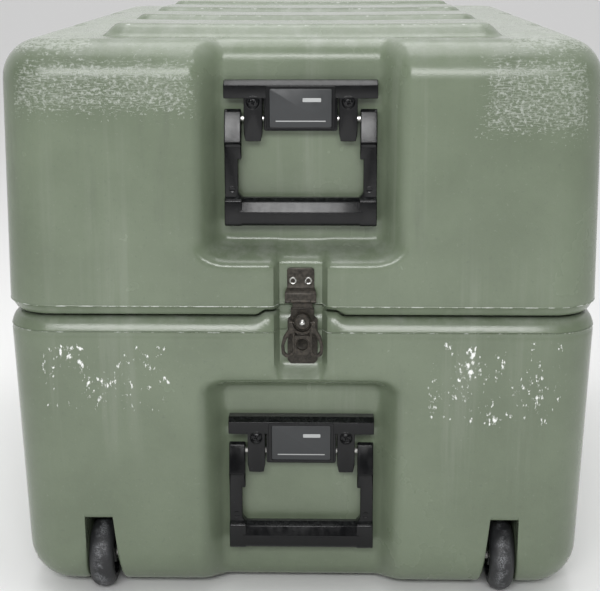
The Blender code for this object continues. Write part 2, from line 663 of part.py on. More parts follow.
def main():
    clear_scene()
    materials = {
        "green_shell": make_material("green_shell", (0.190, 0.220, 0.180), 0.45),
        "black_plastic": make_material("black_plastic", (0.012, 0.012, 0.014), 0.35),
        "rubber": make_material("rubber", (0.018, 0.018, 0.018), 0.75),
        "gasket_rubber": make_material("gasket_rubber", (0.030, 0.030, 0.030), 0.85),
        "black_oxide": make_material("black_oxide", (0.055, 0.050, 0.045), 0.40, 0.9),
        "bright_steel": make_material("bright_steel", (0.600, 0.600, 0.590), 0.30, 1.0),
    }
    half_x = CASE_WIDTH / 2
    half_y = CASE_LENGTH / 2
    near = -SIDE_LATCH_SPACING / 2
    far = SIDE_LATCH_SPACING / 2
    seats = {
        "front": make_seat("front_seat", (0.0, -half_y, PARTING_HEIGHT), 0.0),
        "back": make_seat("back_seat", (0.0, half_y, PARTING_HEIGHT), math.pi),
        "right_near": make_seat("right_near_seat", (half_x, near, PARTING_HEIGHT), QUARTER),
        "right_far": make_seat("right_far_seat", (half_x, far, PARTING_HEIGHT), QUARTER),
        "left_near": make_seat("left_near_seat", (-half_x, near, PARTING_HEIGHT), -QUARTER),
        "left_far": make_seat("left_far_seat", (-half_x, far, PARTING_HEIGHT), -QUARTER),
    }
    make_lid(seats, materials["green_shell"])
    make_base(seats, materials["green_shell"])
    make_gasket(materials["gasket_rubber"])
    make_handles(seats, materials)
    make_latches(seats, materials)
    make_wheels(seats["front"], materials)


main()
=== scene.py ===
import json
import math
import bpy
import numpy as np
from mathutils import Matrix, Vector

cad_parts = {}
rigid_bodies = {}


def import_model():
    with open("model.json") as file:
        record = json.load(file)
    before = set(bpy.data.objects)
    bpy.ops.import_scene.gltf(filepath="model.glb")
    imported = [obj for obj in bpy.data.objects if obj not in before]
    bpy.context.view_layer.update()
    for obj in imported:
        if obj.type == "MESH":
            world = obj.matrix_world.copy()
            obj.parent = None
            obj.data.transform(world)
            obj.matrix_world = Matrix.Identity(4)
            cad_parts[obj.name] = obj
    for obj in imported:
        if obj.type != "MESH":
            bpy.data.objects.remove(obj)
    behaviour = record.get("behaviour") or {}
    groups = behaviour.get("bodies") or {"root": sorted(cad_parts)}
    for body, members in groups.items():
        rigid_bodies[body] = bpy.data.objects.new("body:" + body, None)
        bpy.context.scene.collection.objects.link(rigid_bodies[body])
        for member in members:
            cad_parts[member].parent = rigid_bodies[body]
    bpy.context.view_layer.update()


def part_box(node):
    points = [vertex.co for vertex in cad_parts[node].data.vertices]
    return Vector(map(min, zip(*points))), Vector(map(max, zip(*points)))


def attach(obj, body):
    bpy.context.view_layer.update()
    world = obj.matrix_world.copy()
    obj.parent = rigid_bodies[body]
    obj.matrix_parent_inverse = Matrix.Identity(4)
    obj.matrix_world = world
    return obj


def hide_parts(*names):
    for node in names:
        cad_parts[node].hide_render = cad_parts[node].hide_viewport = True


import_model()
print("frame loaded")


def buildMesh(name, points, quads, polygons=(), sharpAngle=38.0):
    # points is n by 3, quads is m by 4; polygons are longer single faces
    loops = [np.asarray(quads, np.int32).ravel()] + [np.asarray(p, np.int32) for p in polygons]
    sizes = np.concatenate([np.full(len(quads), 4, np.int32), np.array([len(p) for p in polygons], np.int32)])
    flat = np.concatenate(loops)
    mesh = bpy.data.meshes.new(name)
    mesh.vertices.add(len(points))
    mesh.vertices.foreach_set("co", np.asarray(points, np.float32).ravel())
    mesh.loops.add(len(flat))
    mesh.loops.foreach_set("vertex_index", flat)
    mesh.polygons.add(len(sizes))
    mesh.polygons.foreach_set("loop_start", np.concatenate([[0], np.cumsum(sizes)[:-1]]).astype(np.int32))
    mesh.polygons.foreach_set("loop_total", sizes)
    mesh.update(calc_edges=True)
    mesh.validate()
    if signedVolume(mesh) < 0:
        mesh.flip_normals()
    mesh.shade_smooth()
    mesh.set_sharp_from_angle(angle=math.radians(sharpAngle))
    piece = bpy.data.objects.new(name, mesh)
    bpy.context.scene.collection.objects.link(piece)
    return piece


def signedVolume(mesh):
    # sum over triangles of a . (b x c) / 6
    mesh.calc_loop_triangles()
    corners = np.zeros(len(mesh.loop_triangles) * 3, np.int32)
    mesh.loop_triangles.foreach_get("vertices", corners)
    co = np.zeros(len(mesh.vertices) * 3, np.float32)
    mesh.vertices.foreach_get("co", co)
    tri = co.reshape(-1, 3).astype(float)[corners.reshape(-1, 3)]
    tri = tri - co.reshape(-1, 3).mean(0)
    return np.einsum("ij,ij->i", tri[:, 0], np.cross(tri[:, 1], tri[:, 2])).sum() / 6


def stripQuads(rows, columns, closedRows=False, start=0):
    # quads of a grid stored row by row whose columns close on themselves
    r = np.arange(rows if closedRows else rows - 1)[:, None]
    c = np.arange(columns)[None, :]
    nextRow = (r + 1) % rows
    nextColumn = (c + 1) % columns
    quads = np.stack([r * columns + c, r * columns + nextColumn,
                      nextRow * columns + nextColumn, nextRow * columns + c], axis=-1)
    return quads.reshape(-1, 4) + start


def joinPieces(name, parts, sharpAngle=38.0):
    # parts are (points, quads, polygons) of closed shells, each turned the right way before joining
    points, quads, polygons, count = [], [], [], 0
    for partPoints, partQuads, partPolygons in parts:
        partQuads = np.asarray(partQuads).reshape(-1, 4)
        if shellVolume(partPoints, partQuads, partPolygons) < 0:
            partQuads = partQuads[:, ::-1]
            partPolygons = [p[::-1] for p in partPolygons]
        points.append(partPoints)
        quads.append(partQuads + count)
        polygons += [np.asarray(p) + count for p in partPolygons]
        count += len(partPoints)
    return buildMesh(name, np.concatenate(points), np.concatenate(quads), polygons, sharpAngle)


def shellVolume(points, quads, polygons):
    middle = points.mean(0)
    p = points - middle
    total = 0.0
    if len(quads):
        a, b, c, d = (p[quads[:, i]] for i in range(4))
        total += np.einsum("ij,ij->i", a, np.cross(b, c)).sum()
        total += np.einsum("ij,ij->i", a, np.cross(c, d)).sum()
    for polygon in polygons:
        ring = p[np.asarray(polygon)]
        centre = ring.mean(0)
        total += np.einsum("ij,ij->i", ring, np.cross(np.roll(ring, -1, 0), centre)).sum()
    return total


def knee(t, width):
    # zero below -width, t above width, a parabola between
    return np.where(t <= -width, 0.0, np.where(t >= width, t, (t + width) ** 2 / (4 * width)))


def rise(x, start, end, foot, head):
    # straight ramp from 0 at start to 1 at end, its two corners rounded over foot and head
    return (knee(x - start, foot) - knee(x - end, head)) / (end - start)


def stations(breaks, spacing):
    # positions through the break points, no further apart than the spacing
    values = [breaks[0]]
    for low, high in zip(breaks[:-1], breaks[1:]):
        count = max(1, math.ceil((high - low) / spacing - 1e-6))
        values += list(np.linspace(low, high, count + 1)[1:])
    return np.array(values)


def mirrored(values):
    # a list of positive positions and their mirror images, in order
    values = sorted(set(abs(v) for v in values))
    return [-v for v in reversed(values) if v > 0] + values


# moulded shells, heights measured from the parting line
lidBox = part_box("lid_shell")
shell = {
    "halfWidth": lidBox[1].x, "halfLength": lidBox[1].y, "parting": lidBox[0].z + 0.005,
    "corner": 0.050, "arcSteps": 7, "wall": 0.006,
    "lidDraft": math.tan(math.radians(0.9)), "baseDraft": math.tan(math.radians(1.5)),
    "lidFaceTop": 0.228, "lidTop": 0.267, "baseFaceBottom": -0.266, "baseBottom": -0.311,
    "crease": 0.005, "baseCrease": -0.022,
    "handleDepth": 0.038, "handleFloor": 0.081, "handleRun": 0.0195, "handleRound": 0.42,
    "channelDepth": 0.015, "channelFloor": 0.0215, "channelRun": 0.0055,
    "chuteDepth": 0.034, "chuteFloor": 0.0195, "chuteRun": 0.0110, "sideLatch": 0.135,
    "padHalf": 0.202, "padLength": 0.115, "padPitch": 0.193, "padHeight": 0.013, "sag": 0.0024,
    "slotOuter": 0.2270, "slotInner": 0.1978, "slotRoof": -0.227, "slotDepth": 0.081,
    "bossHalf": 0.040, "bossRise": 0.0055, "spacing": 0.0060,
}
padMiddles = [(i - 1.5) * shell["padPitch"] for i in range(4)]


def outlineStations(isLid):
    # where the mesh lines stand along the ends (x) and along the sides (y)
    s = shell
    x = [0.0, 0.0215, 0.0243, 0.027, 0.036, 0.0405, 0.045, 0.076, 0.081, 0.0908, 0.1005, 0.108, 0.235]
    y = [0.0, 0.350]
    channel = [0.008, 0.0205, 0.0243, 0.0275, 0.0325, 0.036, 0.045]
    y += [abs(s["sideLatch"] + side * c) for c in channel for side in (-1, 1)]
    for middle in padMiddles[2:]:
        half = s["padLength"] / 2 + (0.0 if isLid else 0.003)
        slope = s["padHeight"] if isLid else 0.010
        y += [middle - half, middle - half + slope, middle + half - slope, middle + half]
    if isLid:
        x += [s["padHalf"], s["padHalf"] - s["padHeight"]]
    else:
        beside = (0.0042, 0.0029, 0.0015, 0.0006, 0.0001, -0.0001)
        x += [0.1890, 0.2050]
        x += [s["slotInner"] - d for d in beside] + [s["slotOuter"] + d for d in beside]
        y += [0.334, 0.223, 0.163, 0.030]
    return stations(mirrored(x), s["spacing"]), stations(mirrored(y), s["spacing"])


def outline(xs, ys):
    # one turn around the case, seen from above: for each sample its place, its outward
    # normal, the way its corner moves inward, its side and its distance along that side
    s = shell
    k = s["arcSteps"]
    r = s["corner"]
    place, normal, inward, side, along = [], [], [], [], []
    for number, (line, halfAlong, halfOut) in enumerate([(xs, s["halfWidth"], s["halfLength"]),
                                                         (ys, s["halfLength"], s["halfWidth"])] * 2):
        turn = number * math.pi / 2
        ct, st = math.cos(turn), math.sin(turn)
        firstAngles = np.linspace(-math.pi * 3 / 4, -math.pi / 2, k + 1)[:-1]
        lastAngles = np.linspace(-math.pi / 2, -math.pi / 4, k + 1)[1:-1]
        rows = []
        for angles, sign in ((firstAngles, -1), (lastAngles, 1)):
            n = np.stack([np.cos(angles), np.sin(angles)], 1)
            centre = np.array([sign * (halfAlong - r), -(halfOut - r)])
            rows.append((centre + r * n, n, np.tile([sign, -1.0], (len(angles), 1)), np.full(len(angles), 9.0)))
        n = np.tile([0.0, -1.0], (len(line), 1))
        straight = (np.stack([line, np.full(len(line), -halfOut)], 1), n, n, line)
        for p, n, d, a in (rows[0], straight, rows[1]):
            spin = np.array([[ct, st], [-st, ct]])
            place.append(p @ spin)
            normal.append(n @ spin)
            inward.append(d @ spin)
            side.append(np.full(len(p), number))
            along.append(a)
    return [np.concatenate(part) for part in (place, normal, inward, side, along)]


def edgeMask(a, b, rounding, foot, head):
    # 1 on the floor of a recess and 0 outside: a and b are 0 at the floor edge and 1 at the outer edge
    qa, qb = a + rounding, b + rounding
    outside = np.hypot(np.maximum(qa, 0), np.maximum(qb, 0)) + np.minimum(np.maximum(qa, qb), 0) - rounding
    return rise(1 - outside, 0.0, 1.0, foot, head)


def recessInset(z, side, along, isLid, draftInset, grow=0.0):
    # depth of the wall behind the outline: the deepest of face, handle recess, latch channel and chute
    s = shell
    isEnd = (side % 2 == 0)
    x = np.where(isEnd, np.abs(along), np.abs(np.abs(along) - s["sideLatch"]))
    a = (x - s["handleFloor"] - grow) / s["handleRun"]
    b = (0.064 - grow - z) / 0.0132 if isLid else (z + 0.087 - grow) / 0.0132
    handle = edgeMask(a, b, s["handleRound"], 0.42, 0.20) * isEnd
    a = (x - s["channelFloor"] - grow) / s["channelRun"]
    b = (z - 0.066) / 0.012 if isLid else (-0.060 - grow - z) / 0.012
    channel = edgeMask(a, b, 0.5, 0.45, 0.30)
    a = (x - s["chuteFloor"] - grow) / s["chuteRun"]
    b = (0.062 - grow - z) / 0.016
    chute = edgeMask(a, b, 0.4, 0.40, 0.25) * (~isEnd) * isLid
    inset = draftInset + 0.0 * along
    for mask, depth in ((channel, s["channelDepth"]), (handle, s["handleDepth"]), (chute, s["chuteDepth"])):
        inset = inset + np.maximum(mask, 0) * np.maximum(depth - inset, 0)
    return inset


def openEnd(side, along, isLid, grow=0.0):
    # where a recess runs out through the top or bottom: mask, floor depth and edge radius for each sample
    s = shell
    isEnd = (side % 2 == 0)
    x = np.where(isEnd, np.abs(along), np.abs(np.abs(along) - s["sideLatch"]))
    handle = edgeMask((x - s["handleFloor"] - grow) / s["handleRun"], -2.0 + 0 * x, 0.42, 0.42, 0.20) * isEnd
    chute = edgeMask((x - s["chuteFloor"] - grow) / s["chuteRun"], -2.0 + 0 * x, 0.4, 0.40, 0.25)
    chute = chute * (~isEnd) * isLid
    return (np.maximum(handle, chute), np.where(isEnd, s["handleDepth"], s["chuteDepth"]),
            np.where(isEnd, 0.022, 0.016))


def wallRows(samples, rows, isLid):
    # rows of (height, extra inset, kind): kind wall follows the face, flat keeps one inset all round
    place, normal, inward, side, along = samples
    s = shell
    sheets = []
    for z, extra, kind, grow in rows:
        if kind == "flat":
            xy = place - extra * normal
            height = np.full(len(along), z)
        else:
            face = s["lidDraft"] * (z - s["crease"]) if isLid else s["baseDraft"] * (s["baseCrease"] - z)
            face = max(face, 0.0)
            inset = recessInset(z, side, along, isLid, face, grow)
            local = np.where(along > 8, face, inset) + extra
            if kind == "rim":
                local = np.minimum(local, 0.0193)
            xy = place - np.where(along > 8, face, 0.0)[:, None] * inward - \
                np.where(along > 8, extra, local)[:, None] * normal
            height = z + bossLift(z, side, along, isLid)
        sheets.append(np.column_stack([xy, height]))
    return sheets


def bossLift(z, side, along, isLid):
    # the parting line steps up around each latch
    s = shell
    x = np.where(side % 2 == 0, np.abs(along), np.abs(np.abs(along) - s["sideLatch"]))
    mask = rise(-x, -s["bossHalf"] - 0.003, -s["bossHalf"] + 0.003, 0.002, 0.002)
    fade = np.clip((0.0050 - z) / 0.010, 0, 1) if isLid else np.clip((z + 0.021) / 0.010, 0, 1)
    return np.where(along > 8, 0.0, s["bossRise"] * mask * fade)


def filletRows(samples, isLid, offset, steps, descending):
    # quarter-round edge between wall and top or bottom; in an open recess it sits behind the recess floor
    place, normal, inward, side, along = samples
    s = shell
    top = s["lidTop"] if isLid else -s["baseBottom"]
    start = s["lidFaceTop"] if isLid else -s["baseFaceBottom"]
    face = (s["lidDraft"] * (start - s["crease"]) if isLid else s["baseDraft"] * (start + s["baseCrease"]))
    mask, depth, small = openEnd(side, along, isLid, offset)
    mask = np.where(along > 8, 0.0, np.clip(mask, 0, 1))
    radius = top - start - offset
    small = small - offset
    sheets = []
    for t in np.linspace(0, 1, steps + 1):
        angle = t * math.pi / 2
        outInset = radius * (1 - math.cos(angle))
        outHeight = start + radius * math.sin(angle)
        straight = top - offset - small - start
        length = straight + small * math.pi / 2
        run = t * length
        turn = np.clip((run - straight) / small, 0, math.pi / 2)
        inInset = depth + offset + small * (1 - np.cos(turn))
        inHeight = start + np.minimum(run, straight) + small * np.sin(turn)
        outTotal = face + offset + outInset
        inset = outTotal + mask * np.maximum(inInset - outTotal, 0)
        height = outHeight + mask * (inHeight - outHeight)
        arc = along > 8
        xy = place - np.where(arc, face, 0.0)[:, None] * inward - \
            np.where(arc, offset + outInset, inset)[:, None] * normal
        sheets.append(np.column_stack([xy, height if isLid else -height]))
    return sheets[::-1] if descending else sheets


def blockMask(x, y, halfX, halfY, slope, rounding, foot, head):
    # 1 on a raised or sunk block and 0 around it, with sloping sides
    across, along = (np.abs(x) - halfX + slope) / slope, (np.abs(y) - halfY + slope) / slope
    return edgeMask(across, along, rounding, foot, head)


def capGrid(ring, xs, ys):
    # closes the last ring: its samples are the border of a grid whose inner lines run straight across
    k = shell["arcSteps"]
    nx = len(xs) + 2 * k
    ny = len(ys) + 2 * k
    count = len(ring)
    ids = np.zeros((nx, ny), np.int64)
    front = np.arange(nx)
    right = nx - 1 + np.arange(ny)
    back = nx + ny - 2 + np.arange(nx)
    left = (2 * nx + ny - 3 + np.arange(ny)) % count
    ids[:, 0] = front
    ids[-1, :] = right
    ids[::-1, -1] = back
    ids[0, ::-1] = left
    inner = np.arange((nx - 2) * (ny - 2)).reshape(nx - 2, ny - 2)
    lineX = ring[front, 0][1:-1]
    lineY = ring[right, 1][1:-1]
    x = np.repeat(lineX[:, None], ny - 2, 1)
    y = np.repeat(lineY[None, :], nx - 2, 0)
    step = 0.0009
    depth = np.arange(1, ny - 1) * step
    y = np.maximum(y, ring[front, 1][1:-1, None] + depth[None, :])
    y = np.minimum(y, ring[back, 1][::-1][1:-1, None] - depth[::-1][None, :])
    depth = np.arange(1, nx - 1) * step
    x = np.maximum(x, ring[left, 0][::-1][None, 1:-1] + depth[:, None])
    x = np.minimum(x, ring[right, 0][None, 1:-1] - depth[::-1][:, None])
    return ids, inner, x, y


def makeShell(name, isLid):
    s = shell
    xs, ys = outlineStations(isLid)
    samples = outline(xs, ys)
    side, along = samples[3:]
    w = s["wall"]
    if isLid:
        sheets = filletRows(samples, True, w, 4, True)
        innerWall = [(z, w, "wall", w) for z in (0.200, 0.140, 0.095, 0.075, 0.062, 0.050, 0.042, 0.034)]
        lip = [(0.012, 0.028, "flat", 0), (-0.005, 0.028, "flat", 0), (-0.005, 0.0245, "flat", 0),
               (0.006, 0.0245, "flat", 0), (0.006, 0.0195, "flat", 0), (-0.005, 0.0195, "flat", 0),
               (-0.0050, 0.0095, "rim", 0), (-0.0048, 0.0076, "wall", 0), (-0.0038, 0.0061, "wall", 0),
               (-0.0010, 0.0042, "wall", 0), (0.0034, 0.0020, "wall", 0), (0.0043, 0.0008, "wall", 0),
               (0.0048, -0.0002, "wall", 0), (0.0053, -0.0002, "wall", 0), (0.0060, 0.0003, "wall", 0)]
        breaks = [0.0080, 0.0440, 0.0508, 0.0574, 0.0640, 0.0680, s["lidFaceTop"]]
        heights = stations(breaks, s["spacing"])[:-1]
    else:
        sheets = filletRows(samples, False, w, 4, True)
        inside = (-0.216, -0.200, -0.120, -0.095, -0.086, -0.078, -0.070, -0.058, -0.042)
        innerWall = [(z, w, "wall", w) for z in inside]
        lip = [(-0.020, 0.028, "flat", 0), (-0.008, 0.028, "flat", 0), (-0.008, 0.0238, "flat", 0),
               (0.0009, 0.0236, "flat", 0), (0.0009, 0.0204, "flat", 0), (-0.008, 0.0202, "flat", 0),
               (-0.0080, 0.0110, "rim", 0), (-0.0082, 0.0092, "rim", 0), (-0.0089, 0.0074, "wall", 0),
               (-0.0100, 0.0058, "wall", 0), (-0.0120, 0.0040, "wall", 0), (-0.0145, 0.0026, "wall", 0),
               (-0.0172, 0.0015, "wall", 0), (-0.0194, 0.0007, "wall", 0), (-0.0208, 0.0003, "wall", 0),
               (-0.0214, 0.0008, "wall", 0),
               (-0.0219, 0.0000, "wall", 0),
               (-0.0224, 0.0006, "wall", 0), (-0.0236, 0.0010, "wall", 0)]
        heights = -stations([0.0270, 0.0540, 0.0600, 0.0660, 0.0720, 0.0738, 0.0800, 0.0870, 0.0910, 0.2150,
                             0.2205, 0.2235, 0.2255, 0.2285, -s["baseFaceBottom"]], s["spacing"])[:-1]
    innerCount = len(sheets) + 1
    outer = [(z, 0.0, "wall", 0) for z in heights]
    sheets += wallRows(samples, innerWall + lip + outer, isLid)
    firstFillet = len(sheets)
    sheets += filletRows(samples, isLid, 0.0, 10, False)
    grid = np.stack(sheets)
    rows, columns = grid.shape[:2]
    ids, inner, x, y = capGrid(grid[-1], xs, ys)
    capZ = capHeight(x, y, isLid)
    cap = np.stack([x, y, capZ], -1)
    if not isLid:
        carveSlots(grid, cap, samples, firstFillet - len(heights))
        behindSlot = (side == 0) & (along < 8) & (np.abs(along) > 0.182)
        grid[:innerCount, behindSlot, 1] = s["slotDepth"] + w - s["halfLength"]
    ids = np.where(ids >= 0, ids + (rows - 1) * columns, ids)
    ids[1:-1, 1:-1] = rows * columns + inner
    quads = [stripQuads(rows, columns),
             np.stack([ids[:-1, :-1], ids[1:, :-1], ids[1:, 1:], ids[:-1, 1:]], -1).reshape(-1, 4)]
    points = np.concatenate([grid.reshape(-1, 3), cap.reshape(-1, 3)])
    points[:, 2] += s["parting"]
    innerRing = np.arange(columns)[::-1]
    return buildMesh(name, points, np.concatenate(quads), [innerRing], 42.0)


def capHeight(x, y, isLid):
    # the lid's top with pads and a slight sag, or the base's underside with channels and feet
    s = shell
    middles = padMiddles
    if isLid:
        z = np.full(x.shape, s["lidTop"])
        for middle in middles:
            z = z + s["padHeight"] * blockMask(x, y - middle, s["padHalf"], s["padLength"] / 2, s["padHeight"],
                                               0.7, 0.10, 0.32)
        edge = np.clip((s["halfLength"] - 0.050 - np.abs(y)) / 0.060, 0, 1)
        across = np.clip(1 - (x / 0.235) ** 2, 0, 1)
        return np.minimum(z, s["lidTop"] + s["padHeight"]) - s["sag"] * across * (0.35 + 0.65 * edge)
    z = np.full(x.shape, s["baseBottom"])
    for middle in middles:
        z = z + 0.009 * blockMask(x, y - middle, s["padHalf"] + 0.003, s["padLength"] / 2 + 0.003, 0.010,
                                  0.5, 0.2, 0.2)
    for low, high in zip(middles[:-1], middles[1:]):
        z = z - 0.005 * blockMask(x, y - (low + high) / 2, 0.190, 0.030, 0.004, 0.5, 0.2, 0.2)
    return z


def carveSlots(grid, cap, samples, firstRow):
    # wheel slots: between two mesh lines, wall, edge and underside follow the slot's roof and back
    s = shell
    side, along = samples[3:]
    path = np.array([(0.0052, -0.2215), (0.0056, -0.2240), (0.0068, -0.2258), (0.0100, s["slotRoof"]),
                     (0.046, s["slotRoof"]), (0.062, -0.233), (0.075, -0.245), (s["slotDepth"], -0.262),
                     (s["slotDepth"], s["baseBottom"])])
    pathRun = np.concatenate([[0], np.cumsum(np.hypot(*np.diff(path, axis=0).T))])
    columns = np.where((side == 0) & (along < 8))[0]
    x = along[columns]
    edge = np.abs(x)
    mask = np.where((edge > s["slotInner"]) & (edge < s["slotOuter"]), 1.0, 0.0)
    soft = 0.032 * np.exp(-np.maximum(edge - s["slotOuter"], s["slotInner"] - edge) / 0.0011)
    mask = np.where(mask > 0, 1.0, np.where((edge > 0.18) & (edge < 0.236), soft, 0.0))
    reach = np.where(edge < 0.1975, 0.040, 0.013)
    lean = np.where(edge < 0.212, np.clip(1 - np.abs(edge - 0.1975) / reach, 0, 1), 0)
    capColumns = s["arcSteps"] + np.arange(len(columns)) - 1
    capRows = np.where(cap[0, :, 1] < -s["halfLength"] + s["slotDepth"] + 0.0005)[0]
    column = np.concatenate([grid[firstRow:, columns], np.swapaxes(cap[capColumns][:, capRows], 0, 1)])
    start = np.argmax(column[:, 0, 2] <= -0.2214)
    part = column[start:]
    run = np.concatenate([np.zeros((1, len(x))), np.cumsum(np.linalg.norm(np.diff(part, axis=0), axis=2), 0)])
    run = run / run[-1:]
    depth = np.interp(run * pathRun[-1], pathRun, path[:, 0])
    height = np.interp(run * pathRun[-1], pathRun, path[:, 1])
    slot = np.stack([part[..., 0], -s["halfLength"] + depth, height], -1)
    shift = -0.0080 * np.clip((-0.222 - part[..., 2]) / 0.09, 0, 1) * lean * np.sign(x)
    part = part + (slot - part) * mask[None, :, None]
    part[..., 0] += shift
    column[start:] = part
    wallCount = grid.shape[0] - firstRow
    grid[firstRow:, columns] = column[:wallCount]
    for i, row in enumerate(capRows):
        cap[capColumns, row] = column[wallCount + i]


def pointsOf(piece):
    co = np.zeros(len(piece.data.vertices) * 3, np.float32)
    piece.data.vertices.foreach_get("co", co)
    return co.reshape(-1, 3).astype(float)


def bump1(value, middle, reach):
    return np.exp(-((value - middle) / reach) ** 2)


def boxArea(x, z, low, high, soft):
    # 1 inside a rectangle, falling to 0 over the soft distance outside it
    away = np.maximum(np.maximum(low[0] - x, x - high[0]), np.maximum(low[1] - z, z - high[1]))
    return np.clip(1 - away / soft, 0, 1)


def paintShell(piece, isLid):
    # wear and painted highlight values: rubbed ridges along the parting line, light lines along the pad crest
    # edges that are painted highlight as well as wear, a light band on the base rim that is partly painted
    # highlight, scuffed corners, two residue rectangles
    s = shell
    x, y, z = pointsOf(piece).T
    z = z - s["parting"]
    outward = np.maximum(np.abs(x) / s["halfWidth"], np.abs(y) / s["halfLength"])
    outside = np.where(outward > 0.93, 1.0, 0.0)
    front = np.clip((-y - 0.395) / 0.006, 0, 1)
    if isLid:
        ridgeWearAndHighlight = 0.9 * bump1(z, 0.0050, 0.0010) * outside
        # the front and back crest edges of each pad get the light rub colour: a painted highlight where the crests
        # catch the light, partly wear
        crest = np.where((z > s["lidTop"] + 0.0085) & (np.abs(x) < s["padHalf"]), 1.0, 0.0)
        padEdge = s["padLength"] / 2 - s["padHeight"]
        nearEdge = np.max([bump1(np.abs(y - m), padEdge, 0.0022) for m in padMiddles], 0)
        ridgeWearAndHighlight = np.maximum(ridgeWearAndHighlight, 0.75 * crest * nearEdge)
        corner = boxArea(x, z, (-0.270, 0.208), (-0.115, 0.240), 0.040) + \
            boxArea(x, z, (0.190, 0.190), (0.270, 0.240), 0.045)
        scuff = 0.80 * corner * front
        top = np.clip((z - 0.240) / 0.02, 0, 1)
        margin = np.clip((np.abs(x) - 0.195) / 0.015, 0, 1)
        scuff = np.maximum(scuff, top * (0.30 + 0.55 * margin))
        residue = 0 * x
    else:
        ridgeWearAndHighlight = 0.8 * bump1(z, -0.0220, 0.0011) * outside
        # a light band on the base rim's rounded top: painted highlight as well as wear; the crease line above is
        # the flash line's wear
        ridgeWearAndHighlight = np.maximum(ridgeWearAndHighlight, 0.35 * bump1(z, -0.0110, 0.0022) * outside)
        scuff = 0.30 * np.clip((-0.255 - z) / 0.03, 0, 1) + 0 * x
        residue = boxArea(x, z, (-0.262, -0.103), (-0.136, -0.037), 0.004) + \
            boxArea(x, z, (0.133, -0.118), (0.262, -0.034), 0.004)
        residue = residue * np.clip((-y - 0.4105) / 0.001, 0, 1)
    storeValue(piece, "ridgeWearAndPaintedHighlight", ridgeWearAndHighlight)
    storeValue(piece, "scuffs", np.clip(scuff, 0, 1))
    storeValue(piece, "residue", residue)


def makeShells(materials):
    for name, body in (("lid", "lid"), ("base", "base")):
        piece = makeShell(f"{name}Moulding", name == "lid")
        paintShell(piece, name == "lid")
        finishPiece(piece, body, materials["greenShell"], (f"{name}_shell",))
        print(name, "moulding made", len(piece.data.polygons))


# places on the case: x runs along the wall, y goes inward, z is height above the parting line
def seatPlace(points, seat, shift=(0.0, 0.0, 0.0)):
    s = shell
    turn, middle = {"front": (0, 0), "back": (2, 0), "right_near": (1, -1), "right_far": (1, 1),
                    "left_near": (3, -1), "left_far": (3, 1)}[seat]
    out = s["halfWidth"] if turn % 2 else s["halfLength"]
    x, y, z = (points[:, i] + shift[i] for i in range(3))
    y = y - out
    ct, st = round(math.cos(turn * math.pi / 2)), round(math.sin(turn * math.pi / 2))
    return np.column_stack([x * ct - y * st, x * st + y * ct + middle * s["sideLatch"], z + s["parting"]])


def softOutline(corners, steps=4):
    # corners are (a, b, radius); each is replaced by an arc that touches both its sides
    result = []
    for i, (a, b, radius) in enumerate(corners):
        here = np.array([a, b])
        back = np.array(corners[i - 1][:2]) - here
        ahead = np.array(corners[(i + 1) % len(corners)][:2]) - here
        back, ahead = back / np.linalg.norm(back), ahead / np.linalg.norm(ahead)
        half = math.acos(np.clip(back @ ahead, -1, 1)) / 2
        if radius == 0 or half > 1.55:
            result.append(here[None])
            continue
        bisector = (back + ahead) / np.linalg.norm(back + ahead)
        centre = here + bisector * radius / math.sin(half)
        first = here + back * radius / math.tan(half) - centre
        last = here + ahead * radius / math.tan(half) - centre
        turn = math.atan2(first[0] * last[1] - first[1] * last[0], first @ last)
        angle = np.linspace(0, turn, steps + 1)[:, None]
        result.append(centre + first * np.cos(angle) + np.array([-first[1], first[0]]) * np.sin(angle))
    return np.concatenate(result)


def insetOutline(outline, distance):
    # every corner moves inward along the mean of its two side normals
    side = np.roll(outline, -1, 0) - outline
    side = side / np.maximum(np.linalg.norm(side, axis=1), 1e-9)[:, None]
    area = np.sum(outline[:, 0] * np.roll(outline[:, 1], -1) - outline[:, 1] * np.roll(outline[:, 0], -1))
    normal = np.column_stack([-side[:, 1], side[:, 0]]) * np.sign(area)
    before = np.roll(normal, 1, 0)
    scale = np.maximum(1 + np.sum(normal * before, 1), 0.4)
    return outline + distance * (normal + before) / scale[:, None]


def lift(outline, depth, axis):
    # a flat outline at one depth: on the front it holds (x, z), on the side it holds (y, z)
    level = np.full(len(outline), depth)
    order = {"Y": (outline[:, 0], level, outline[:, 1]), "X": (level, outline[:, 0], outline[:, 1])}
    return np.column_stack(order[axis])


def loftRings(rings):
    # rings of equal count joined in turn, both ends closed
    count = len(rings[0])
    points = np.concatenate(rings)
    ends = [np.arange(count)[::-1], np.arange(len(points) - count, len(points))]
    return points, stripQuads(len(rings), count), ends


def slab(outline, low, high, bevel, axis="Y", steps=2):
    # an outline carried between two depths, with a quarter round of the bevel radius on both faces
    angle = np.linspace(0, math.pi / 2, steps + 1)
    rings = [lift(insetOutline(outline, bevel * (1 - math.sin(a))), low + bevel * (1 - math.cos(a)), axis)
             for a in angle]
    rings += [lift(insetOutline(outline, bevel * (1 - math.sin(a))), high - bevel * (1 - math.cos(a)), axis)
              for a in angle[::-1]]
    return loftRings(rings)


def ringBand(inner, outer, low, high, bevel, axis="Y"):
    # a flat ring between two outlines of equal count, with rounded edges; it closes on itself
    rings = []
    for edge, depth in ((0, low + bevel), (bevel, low), (-bevel, low), (0, low + bevel)):
        source, shrink = (outer, edge) if edge >= 0 and len(rings) < 2 else (inner, edge)
        rings.append(lift(insetOutline(source, shrink), depth, axis))
    for edge, depth in ((0, high - bevel), (-bevel, high), (bevel, high), (0, high - bevel)):
        source = inner if len(rings) < 6 else outer
        rings.append(lift(insetOutline(source, edge), depth, axis))
    return np.concatenate(rings), stripQuads(len(rings), len(inner), True), []


